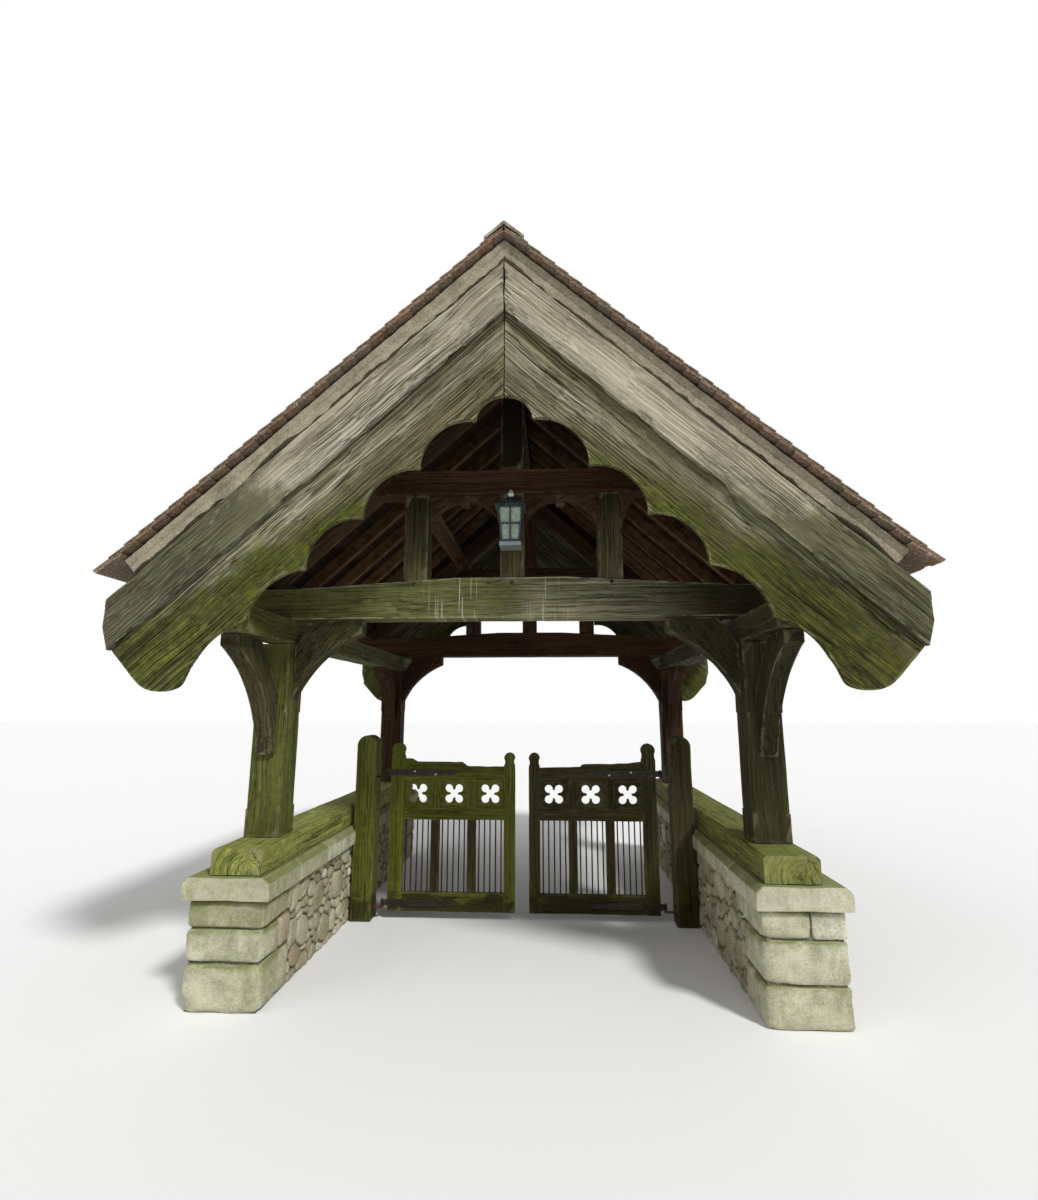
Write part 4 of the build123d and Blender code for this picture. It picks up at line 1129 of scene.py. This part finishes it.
def copings(seed=31):
    """Bevelled coping slabs, cut round the gate posts."""
    rng = Random(seed)
    pile = Pile()
    end = WALL_END + COPING_LIP
    low = WALL_IN - COPING_LIP
    high = WALL_OUT + COPING_LIP
    shoulder = COPING_TOP - COPING_BEVEL
    post_near = GATE_Y - GATE_POST_HALF - 0.001
    post_far = GATE_Y + GATE_POST_HALF + 0.001
    for sign in (-1, 1):
        cuts = [-end]
        for stop in (post_near, post_far, end):
            while stop - cuts[-1] > SLAB_LONGEST:
                cuts.append(cuts[-1] + rng.uniform(*SLAB_LENGTHS))
            cuts.append(stop)
        for near, far in zip(cuts, cuts[1:]):
            outline = [(low, WALL_TOP), (high, WALL_TOP), (high, shoulder), (high - COPING_BEVEL, COPING_TOP)]
            if abs(near - post_near) < 1e-6:
                outline[0] = (GATE_POST_BACK + 0.003, WALL_TOP)
                outline.append((GATE_POST_BACK + 0.003, COPING_TOP))
            else:
                outline += [(low + COPING_BEVEL, COPING_TOP), (low, shoulder)]
            add_bar(
                pile, outline, near + STONE_JOINT, far - STONE_JOINT, lambda a, b, way: (sign * a, way, b),
                rng, 0.006, 0.05, 0.018, 0.005,
            )
    pile.place("coping_slabs", "coping_stone", COPING_STONE, stands_for="copings", smooth=30.0)


def roof_tiles(side, sign, seed):
    """Plain clay tiles in broken-jointed courses, over boards."""
    rng = Random(seed)
    pile = Pile()
    lay = on_slope(sign)
    long = EAVES_X / cos(PITCH)
    lean = (2 * TILE_THICK + 0.001) / TILE_LONG
    count = round(2 * VERGE_Y / TILE_PITCH)

    def tile(tail, head, start, sunk, tone):
        near = max(start, -VERGE_Y) + TILE_JOINT
        far = min(start + TILE_PITCH, VERGE_Y) - TILE_JOINT
        turn = rng.uniform(-0.006, 0.006)
        lift = rng.uniform(0.0, 0.0012)
        chip = rng.choice((0, 0, 0, 0, 0, 0, 0, 1, 2)) if far - near > 0.1 else 0
        points = []
        wears = []
        for under, i, j in product((0, 1), range(3), range(3)):
            s = head + (tail - head) * i / 2
            y = near + (far - near) * j / 2
            s_turned = s + (y - (near + far) / 2) * turn
            if chip and i == 2 and j == (0 if chip == 1 else 2):
                s_turned -= rng.uniform(*TILE_CHIP)
            camber = 0.002 * (1 - (2 * s / (head + tail) - 1) ** 2) if i == 1 else 0.0
            depth = sunk + (tail - s) * lean + under * TILE_THICK - camber + lift
            points.append(lay(min(s_turned, long), max(depth, 0.0005), y))
            wears.append(0.9 if i == 2 else 0.0)
        faces = []
        for a in (0, 1, 3, 4):
            faces.append((a, a + 1, a + 4, a + 3))
            faces.append((a + 9, a + 12, a + 13, a + 10))
        faces += [(a, b, b + 9, a + 9) for a, b in pairs((0, 1, 2, 5, 8, 7, 6, 3))]
        pile.add(points, faces, tone, wears)

    for index in range(int(long / TILE_GAUGE)):
        tail = long - index * TILE_GAUGE - rng.uniform(0.0, 0.002)
        head = max(0.012, tail - TILE_LONG)
        start = -VERGE_Y - index % 2 * TILE_PITCH / 2
        for k in range(count + index % 2):
            slip = rng.uniform(0.0, 0.006)
            tile(tail - slip, head, start + k * TILE_PITCH, 0.0025, rng.random())
    for k in range(count + 1):
        tile(long - 0.006, long - 0.17, -VERGE_Y - TILE_PITCH / 2 + k * TILE_PITCH, 0.0165, rng.random())
    pile.place(f"{side}_plain_tiles", "clay_tile", CLAY_TILE, stands_for=f"{side}_tile_courses")
    boards = Pile()
    foot = (RAFTER_FOOT + 0.03) / cos(PITCH)
    for index in range(int(foot / ROOF_BOARD)):
        top = foot - (index + 1) * ROOF_BOARD + 0.003
        low = foot - index * ROOF_BOARD - 0.001
        add_bar(
            boards, box(top, low, TILE_BED - 0.0115, TILE_BED - 0.0002), -GABLE_Y + 0.001, GABLE_Y - 0.001,
            lay, rng, 0.0015, 0.5, 0.2, 0.0005,
        )
    boards.place(f"{side}_roof_boards", "roof_oak", UNDER_TILE_BOARDS)


def ridge(seed=51):
    """Angular ridge tiles, each a little out of line, with mortar at their joints and along their wings."""
    rng = Random(seed)
    pile = Pile()
    bed = Pile()
    step = 2 * VERGE_Y / RIDGE_COUNT
    peak_in = APEX_Z + 0.0006
    peak_out = APEX_Z + RIDGE_THICK / cos(PITCH)
    (x0, z0), (x1, z1) = slope(RIDGE_WING, -RIDGE_THICK), slope(RIDGE_WING, -0.0005)
    outline = [(0, peak_out), (x0, z0), (x1, z1), (0, peak_in), (-x1, z1), (-x0, z0)]
    wing = RIDGE_WING * 0.98
    (x0, z0), (x1, z1) = slope(wing, -RIDGE_THICK + 0.003), slope(wing, -0.001)
    left = -slope(wing, 0)[0]
    joint = [(0, peak_out - 0.003), (x0, z0), (x1, z1), (0, peak_in), (left, z1), (left, z0)]
    for index in range(RIDGE_COUNT):
        near = -VERGE_Y + index * step
        dip = rng.uniform(0.0, 0.003)
        lean = rng.uniform(-0.002, 0.002)
        add_bar(
            pile, outline, near, near + step - 0.006,
            lambda a, b, way: (a + lean * (way - near), way, b - dip * (b > APEX_Z - 0.06)), rng,
            0.003, 0.12, 0.03, 0.0015,
        )
        if index:
            add_bar(
                bed, joint, near - 0.012, near + 0.006, lambda a, b, way: (a, way, b), rng,
                0.001, 0.02, 0.03, 0.001,
            )
    wing = RIDGE_WING
    fillet = [(wing - 0.012, -0.0005), (wing - 0.012, -0.012), (wing + 0.012, -0.001), (wing + 0.02, 0.004)]
    for sign in (-1, 1):
        add_bar(
            bed, fillet, -VERGE_Y + 0.004, VERGE_Y - 0.004, on_slope(sign), rng, 0.003, 0.035, 0.02, 0.004,
        )
    pile.place("ridge_tiles_laid", "clay_tile", CLAY_TILE, stands_for="ridge_tiles")
    bed.place("ridge_mortar", "mortar", MORTAR)


VERGE_OUTLINE = ((0.001, 0.0505), (0.072, 0.0505), (0.07, 0.154), (0.037, 0.1548), (0.001, 0.1548))


def verges(seed=61):
    """Rough mortar under the verge tiles, broken along its lower edge."""
    rng = Random(seed)
    pile = Pile()
    toe = (RAFTER_FOOT + 0.055) / cos(PITCH)

    def ragged(at, way, start):
        if at.y > 0.1:
            bite = 0.5 + 0.9 * noise_at(way * 3.4 + start, 0)
            low = min(0.1545, 0.153 - 0.034 * max(0.0, bite) - 0.016 * noise_at(way * 16 + start, 3))
            at = Vector((at.x, 0.1 + (at.y - 0.1) * (low - 0.1) / 0.055))
        lump = noise_at(way * 12 + start, at.y * 38, at.x * 9)
        fine = noise_at(way * 38 + start, at.y * 90, 5)
        if at.x > 0.05:
            groove = 0.008 if 0.084 < at.y < 0.096 else 0.0
            at = Vector((at.x - 0.006 - 0.009 * abs(lump) - 0.003 * abs(fine) - groove, at.y))
        return at

    for end in (-1, 1):
        for sign in (-1, 1):
            lay = on_slope(sign)
            add_bar(
                pile, VERGE_OUTLINE, 0.052, toe, lambda a, b, way: lay(way, b, end * (GABLE_Y + a)), rng,
                0.004, 0.022, 0.0125, 0.001, ragged,
            )
    pile.place("verge_mortar_rough", "mortar", VERGE_MORTAR, stands_for="verge_mortar")


def add_turned(pile, profile, middle, turn, sides, tone=0.5):
    """A small turned shape: a profile of radius and height spun about an axis."""
    points = []
    for radius, way in profile:
        for k in range(sides):
            angle = 2 * pi * k / sides
            points.append(Vector(middle) + turn @ Vector((radius * cos(angle), radius * sin(angle), way)))
    pile.add(points, tube_faces(len(profile), sides), tone)


PEG_PROFILE = ((0.0105, 0.0), (0.0108, 0.004), (0.0095, 0.0068), (0.006, 0.0084), (0.0015, 0.0089))
ROD_PROFILE = (
    (0.0062, 0.0), (0.0054, 0.012), (0.0053, 0.13), (0.0055, 0.26), (0.0053, 0.39), (0.0054, 0.508),
    (0.0062, 0.52),
)
BOLT_PROFILE = ((0.0095, 0.0), (0.0098, 0.002), (0.008, 0.0052), (0.0045, 0.0072), (0.001, 0.0078))
NAIL_PROFILE = ((0.0085, 0.0), (0.0088, 0.0025), (0.006, 0.006), (0.001, 0.0075))
FACING_FRONT = Matrix.Rotation(pi / 2, 3, "X")
FACING_BACK = Matrix.Rotation(-pi / 2, 3, "X")


def pegs():
    """Riven oak pegs with rounded ends, where the CAD has them."""
    pile = Pile()
    rng = Random(71)
    bm = cad_solids("pegs")
    for part in loose_parts(bm):
        low = Vector([min(p.co[i] for p in part) for i in range(3)])
        high = Vector([max(p.co[i] for p in part) for i in range(3)])
        base = (low + high) / 2
        front = base.y < 0
        base.y = high.y if front else low.y
        add_turned(pile, PEG_PROFILE, base, FACING_FRONT if front else FACING_BACK, 9, rng.random())
    bm.free()
    pile.place("oak_pegs", "weathered_oak", PEG_OAK, stands_for="pegs")


def prism(bm, outline, near, far):
    """A solid from an outline in X and Z, between two places along Y."""
    front, back = [[bm.verts.new((x, y, z)) for x, z in outline] for y in (near, far)]
    bm.faces.new(front)
    bm.faces.new(back[::-1])
    for (a, b), (c, d) in zip(pairs(front), pairs(back)):
        bm.faces.new((a, c, d, b))


def handed(bm, sign):
    """Turns the faces of new solids outwards, and mirrors them for the left side."""
    bmesh.ops.recalc_face_normals(bm, faces=bm.faces)
    if sign < 0:
        bmesh.ops.scale(bm, vec=(-1, 1, 1), verts=bm.verts)
        bmesh.ops.reverse_faces(bm, faces=bm.faces)


def bow(*spots, steps):
    """Points on the arc through three places, without its first point."""
    (x1, y1), (x2, y2), (x3, y3) = spots
    d = 2 * (x1 * (y2 - y3) + x2 * (y3 - y1) + x3 * (y1 - y2))
    s1, s2, s3 = (x * x + y * y for x, y in spots)
    cx = (s1 * (y2 - y3) + s2 * (y3 - y1) + s3 * (y1 - y2)) / d
    cy = (s1 * (x3 - x2) + s2 * (x1 - x3) + s3 * (x2 - x1)) / d
    start, through, stop = (Vector((x - cx, y - cy)) for x, y in spots)
    whole = start.angle_signed(through) + through.angle_signed(stop)
    made = []
    for k in range(1, steps + 1):
        c, s = cos(-whole * k / steps), sin(-whole * k / steps)
        made.append((cx + start.x * c - start.y * s, cy + start.x * s + start.y * c))
    return made


def stile_outline(low, high, top, rail_top):
    """A gate stile with a small neck and a rounded head."""
    middle = (low + high) / 2
    half = (high - low) / 2
    neck = rail_top + 0.01
    shoulder = top - half * 1.05
    waist = half - 0.008
    waist_z = (neck + shoulder) / 2
    points = [(low, neck), (low, LEAF_FOOT), (high, LEAF_FOOT), (high, neck)]
    points += bow((high, neck), (middle + waist, waist_z), (high, shoulder), steps=4)
    points += bow((high, shoulder), (middle, top), (low, shoulder), steps=14)
    points += bow((low, shoulder), (middle - waist, waist_z), (low, neck), steps=4)[:-1]
    return points


RAIL_WEAR = {
    "left": ((0.0, 0.0), (0.07, 0.0), (0.12, 0.026), (0.58, 0.028), (0.63, 0.06), (1.0, 0.06)),
    "right": ((0.0, 0.018), (0.12, 0.032), (0.57, 0.04), (0.6, 0.06), (1.0, 0.068)),
}


def worn_rail_top(left, right, wear, seed, steps=40):
    """The top rail's eaten-away upper edge, from the hinge stile to the closing stile."""
    points = []
    for k in range(steps + 1):
        share = k / steps
        for (s0, w0), (s1, w1) in zip(wear, wear[1:]):
            if s0 <= share <= s1:
                lost = w0 + (w1 - w0) * (share - s0) / (s1 - s0)
                break
        nibble = 0.006 * max(0.0, noise_at(share * 9, seed)) + 0.002 * abs(noise_at(share * 33, seed, 1))
        points.append((right - share * (right - left), RAIL_TOP - lost - nibble - 0.0005))
    return points


BAYS_IN = LEAF_IN + STILE_CLOSING
BAYS_OUT = LEAF_OUT - STILE_HINGE
BAY = (BAYS_OUT - BAYS_IN - 2 * MUNTIN) / 3
BAY_STARTS = [BAYS_IN + index * (BAY + MUNTIN) for index in range(3)]


def gate_joinery(side, seed):
    """The stiles, rails and upper muntins of a leaf, and apart from them its lower muntins."""
    wear = RAIL_WEAR[side]
    bm = bmesh.new()
    lower = bmesh.new()
    back = LEAF_FRONT + LEAF_THICK
    prism(bm, stile_outline(BAYS_OUT, LEAF_OUT, STILE_TOPS[0], RAIL_TOP - wear[0][1]), LEAF_FRONT, back)
    prism(bm, stile_outline(LEAF_IN, BAYS_IN, STILE_TOPS[1], RAIL_TOP - wear[-1][1]), LEAF_FRONT, back)
    near = LEAF_FRONT + RAIL_INSET
    far = back - RAIL_INSET
    left = BAYS_IN - TENON
    right = BAYS_OUT + TENON
    for low, high in ((LEAF_FOOT, BOTTOM_TOP), (MID_LOW, MID_TOP)):
        prism(bm, box(left, right, low, high), near, far)
    prism(bm, [(left, RAIL_LOW), (right, RAIL_LOW), *worn_rail_top(left, right, wear, seed)], near, far)
    for bay in BAY_STARTS[1:]:
        start = bay - MUNTIN
        for target, low, high in ((lower, BOTTOM_TOP, MID_LOW), (bm, MID_TOP, RAIL_LOW)):
            outline = box(start, start + MUNTIN, low - TENON, high + TENON)
            prism(target, outline, near + MUNTIN_INSET, far - MUNTIN_INSET)
    return bm, lower


def panel_beads(gap=0.0004):
    """Mitred beads round both faces of the panels."""
    bm = bmesh.new()
    for start in BAY_STARTS:
        x0, x1, z0, z1 = start + gap, start + BAY - gap, MID_TOP + gap, RAIL_LOW - gap
        outer = box(x0, x1, z0, z1)
        inner = box(x0 + BEAD_WIDE, x1 - BEAD_WIDE, z0 + BEAD_WIDE, z1 - BEAD_WIDE)
        for face, way in ((LEAF_MIDDLE - PANEL_HALF, -1), (LEAF_MIDDLE + PANEL_HALF, 1)):
            for a, b in ((0, 1), (2, 3), (3, 0), (1, 2)):
                prism(bm, [outer[a], outer[b], inner[b], inner[a]], *sorted((face, face + way * BEAD_PROUD)))
    return bm


def gate(side, sign, material, seed):
    """A gate leaf: framed stiles, rails and muntins, quatrefoil panels, rods and straps."""
    on_leaf = {"body": f"{side}_gate"}
    joinery, muntins = gate_joinery(side, seed)
    beads = panel_beads()
    for bm in (joinery, muntins, beads):
        handed(bm, sign)
    panels = cad_solids(f"{side}_gate_panels")
    for part in loose_parts(panels):
        for axis in (0, 2):
            places = [p.co[axis] for p in part]
            for point in part:
                if point.co[axis] < min(places) + 0.001:
                    point.co[axis] -= TENON
                elif point.co[axis] > max(places) - 0.001:
                    point.co[axis] += TENON
    frame_sizes = (0.003, 0.05, 0.03, 0.0016, 0.003)
    for part, bm, finish, count, sizes, node in (
        ("joinery", joinery, material, 0, frame_sizes, "frame"),
        # The lower muntins take the right gate's darker oak, with its painted shade.
        ("muntins", muntins, RIGHT_GATE_OAK, 0, frame_sizes, ""),
        ("quatrefoils", panels, material, 1, (0.002, 0.05, 0.05, 0.0008, 0.0006), "panels"),
        ("beads", beads, material, 2, (0.0015, 0.08, 0.05, 0.0004, 0.0004), ""),
    ):
        weather(
            f"{side}_gate_{part}", bm, finish, "gate_oak", seed + count, sizes,
            stands_for=node and f"{side}_gate_{node}", **on_leaf,
        )
    rods = Pile()
    rng = Random(seed + 3)
    for start in BAY_STARTS:
        for k in range(RODS_A_BAY):
            x = start + (k + 0.5) * BAY / RODS_A_BAY
            lean = Matrix.Rotation(rng.uniform(-0.003, 0.003), 3, "Y")
            add_turned(rods, ROD_PROFILE, (sign * x, LEAF_MIDDLE, BOTTOM_TOP), lean, 10, rng.random())
    rods.place(f"{side}_gate_rods", "iron", IRON, stands_for=f"{side}_gate_bars", **on_leaf)
    weather(
        f"{side}_gate_strap_irons", cad_solids(f"{side}_gate_straps"), IRON, "iron", seed + 4,
        (0.0012, 0.04, 0.02, 0.0004, 0.0006), stands_for=f"{side}_gate_straps", **on_leaf,
    )
    bolts = [(x, level) for level in STRAP_LEVELS for x in BOLT_PLACES]
    nails = [(x, STRAP_LEVELS[1] + rise) for x, rise in NAIL_PLACES]
    for part, places, profile, finish in (
        ("strap_bolts", bolts, BOLT_PROFILE, IRON), ("bright_nails", nails, NAIL_PROFILE, PALE_METAL),
    ):
        heads = Pile()
        for x, level in places:
            add_turned(heads, profile, (sign * x, LEAF_FRONT - 0.0046, level), FACING_FRONT, 10)
        heads.place(f"{side}_gate_{part}", "iron", finish, **on_leaf)


def lantern():
    """The lantern's bars, cap and finial, its crest and its panes."""
    weather(
        "lantern_case", cad_solids("lantern_frame"), LANTERN_METAL, "lantern_metal", 91,
        (0.0012, 0.03, 0.03, 0.0004, 0.0004), stands_for="lantern_frame",
    )
    low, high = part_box("lantern_glass")
    x, y = [(a + b) / 2 for a, b in zip(low[:2], high[:2])]
    crest = Pile()
    rng = Random(92)
    for k in range(4):
        turn = Matrix.Rotation(k * pi / 2, 3, "Z")
        for step in range(-3, 4):
            tall = 0.014 + 0.008 * (1 - abs(step) / 4)
            spot = turn @ Vector((step * 0.022, -0.078, 0.0))
            size = turn @ Vector((0.009, 0.0035, 0.0))
            middle = (x + spot.x, y + spot.y, high[2] + 0.01 + tall / 2)
            half = (abs(size.x), abs(size.y), tall / 2 + 0.002)
            add_stone(crest, middle, half, rng, 2.0, 0.1, grid=SMALL_CUBE)
    crest.place("lantern_crest", "lantern_metal", LANTERN_METAL)
    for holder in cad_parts["lantern_glass"].material_slots:
        holder.material = LANTERN_GLASS


# The building

rubble_wall("left", -1, 11)
rubble_wall("right", 1, 12)
copings()
roof_tiles("left", -1, 41)
roof_tiles("right", 1, 42)
ridge()
verges()
pegs()


def board_crack(sign, down, depth, long, wide, deep):
    """A crack in a front bargeboard, from slope measures."""
    x, z = slope(down, depth)
    along = Vector((sign * cos(PITCH), 0.0, -sin(PITCH)))
    return (Vector((sign * x, -GABLE_Y - 0.035, z)), along, Vector((0.0, -1.0, 0.0)), long, wide, deep)


LONG_CRACKS = [board_crack(*measures) for measures in (
    (-1, 2.58, 0.63, 0.46, 0.008, 0.02),
    (-1, 2.72, 0.47, 0.34, 0.006, 0.015),
    (-1, 1.1, 0.5, 0.55, 0.004, 0.012),
    (1, 2.35, 0.58, 0.4, 0.007, 0.02),
    (1, 2.6, 0.66, 0.2, 0.006, 0.015),
    (1, 1.0, 0.45, 0.5, 0.004, 0.012),
)]
OUT, UNDER, GATE = "weathered_oak", "roof_oak", "gate_oak"
WORN = (
    # nodes, material, slot, then the sizes of the wear and the cracking
    ("front_scalloped_boards", BOARD_OAK, OUT, (0.003, 0.05, 0.04, 0.0022, 0.003), (5.0, 0.5)),
    ("rear_scalloped_boards", BOARD_OAK, OUT, (0.003, 0.06, 0.045, 0.0022, 0.003), (5.0, 0.5)),
    ("front_upper_boards rear_upper_boards", UPPER_BOARD_OAK, OUT,
     (0.003, 0.03, 0.03, 0.002, 0.03), (5.0, 0.5)),
    ("front_left_post front_right_post", FRAME_OAK, OUT, (0.004, 0.08, 0.05, 0.003, 0.003), (9.0, 0.7)),
    ("rear_left_post rear_right_post", DARK_OAK, OUT, (0.004, 0.09, 0.06, 0.003, 0.003), (9.0, 0.7)),
    ("front_tie_beam", TIE_OAK, OUT, (0.005, 0.08, 0.04, 0.003, 0.003), (9.0, 0.7)),
    ("rear_tie_beam", DARK_OAK, OUT, (0.005, 0.1, 0.06, 0.003, 0.003), (9.0, 0.7)),
    ("wall_plates", FRAME_OAK, OUT, (0.004, 0.12, 0.06, 0.003, 0.003), (5.0, 0.6)),
    ("eaves_plates", DARK_OAK, OUT, (0.003, 0.15, 0.07, 0.002, 0.002), (0.0, 0.5)),
    ("front_struts", STRUT_OAK, OUT, (0.004, 0.08, 0.05, 0.002, 0.002), (9.0, 0.3)),
    ("rear_struts", DARK_OAK, OUT, (0.004, 0.09, 0.06, 0.002, 0.002), (9.0, 0.3)),
    ("front_principals rear_principals", DARK_OAK, UNDER, (0.004, 0.1, 0.06, 0.002, 0.002), (4.0, 0.4)),
    ("collars", DARK_OAK, OUT, (0.004, 0.09, 0.05, 0.002, 0.002), (6.0, 0.4)),
    ("front_arched_heads rear_arched_heads", DARK_OAK, OUT, (0.003, 0.06, 0.06, 0.0015, 0.0015), (0.0, 0.2)),
    ("front_arch_braces", BRACE_OAK, OUT, (0.004, 0.06, 0.05, 0.002, 0.002), (8.0, 0.25)),
    ("rear_arch_braces", DARK_OAK, OUT, (0.004, 0.06, 0.05, 0.002, 0.002), (8.0, 0.25)),
    ("front_gable_braces", BRACE_OAK, OUT, (0.004, 0.06, 0.05, 0.002, 0.002), (8.0, 0.3)),
    ("rear_gable_braces", DARK_OAK, OUT, (0.004, 0.06, 0.05, 0.002, 0.002), (8.0, 0.3)),
    ("bay_braces", DARK_OAK, OUT, (0.004, 0.06, 0.05, 0.002, 0.002), (8.0, 0.25)),
    ("purlins", RAFTER_OAK, UNDER, (0.004, 0.16, 0.07, 0.002, 0.002), (2.0, 0.6)),
    ("ridge_beam", DARK_OAK, UNDER, (0.003, 0.2, 0.08, 0.002, 0.002), (0.0, 0.6)),
    ("left_rafters right_rafters", RAFTER_OAK, UNDER, (0.003, 0.22, 0.08, 0.002, 0.002), (0.0, 0.4)),
    ("sills", SILL_OAK, OUT, (0.005, 0.09, 0.06, 0.004, 0.004), (6.0, 0.8)),
    # The gate posts take the same lighter and darker oaks, with their painted light and shade.
    ("left_gate_post", LEFT_GATE_OAK, GATE, (0.011, 0.07, 0.04, 0.002, 0.002), (9.0, 0.5)),
    ("right_gate_post", RIGHT_GATE_OAK, GATE, (0.011, 0.07, 0.04, 0.003, 0.003), (9.0, 0.5)),
    ("gate_hooks", IRON, "iron", (0.0012, 0.05, 0.05, 0.0003, 0.0003), (0.0, 0.2)),
)
each_node = [(node, *row) for nodes, *row in WORN for node in nodes.split()]
for seed, (node, material, slot, sizes, cracking) in enumerate(each_node, 100):
    curved = node.endswith(("_heads", "_braces"))
    extra = LONG_CRACKS if node == "front_scalloped_boards" else ()
    weather(
        f"{node}_worn", cad_solids(node), material, slot, seed, sizes, cracking, curved, extra,
        stands_for=node,
    )

gate("left", -1, LEFT_GATE_OAK, 201)
gate("right", 1, RIGHT_GATE_OAK, 202)
lantern()


# Floor, light and sky

def studio(reach=60.0):
    """A plain pale floor, a pale sky and soft lamps."""
    floor_mesh = bpy.data.meshes.new("floor")
    corners = box(-reach, reach, -reach, reach)
    floor_mesh.from_pydata([(x, y, -0.0005) for x, y in corners], [], [(0, 1, 2, 3)])
    floor = put_in_scene("floor", floor_mesh)
    finish = Finish("floor_grey")
    feed(finish.inputs["Base Color"], (0.88, 0.88, 0.875))
    feed(finish.inputs["Roughness"], 0.9)
    floor_mesh.materials.append(finish.material)
    world = bpy.data.worlds.new("pale_sky")
    world.use_nodes = True
    tree = world.node_tree
    sky = tree.nodes["Background"].inputs
    camera_ray, glossy, through = [
        put(tree, "ShaderNodeLightPath", output=f"Is {kind} Ray")
        for kind in ("Camera", "Glossy", "Transmission")
    ]
    feed(sky["Color"], (1.0, 1.0, 1.0))
    feed(sky["Strength"], camera_ray.most(glossy).most(through).eased(0.0, 1.0, 0.42, 1.0))
    scene.world = world
    for name, way, energy, spread in (
        ("key", (-0.5, 0.6, -0.72), 2.6, 0.16), ("fill", (0.6, 0.5, -0.5), 0.45, 0.8),
    ):
        data = bpy.data.lights.new(name, "SUN")
        data.energy = energy
        data.angle = spread
        lamp = put_in_scene(name, data)
        lamp.location = Vector(way) * -9
        lamp.rotation_euler = Vector(way).to_track_quat("-Z", "Y").to_euler()


studio()
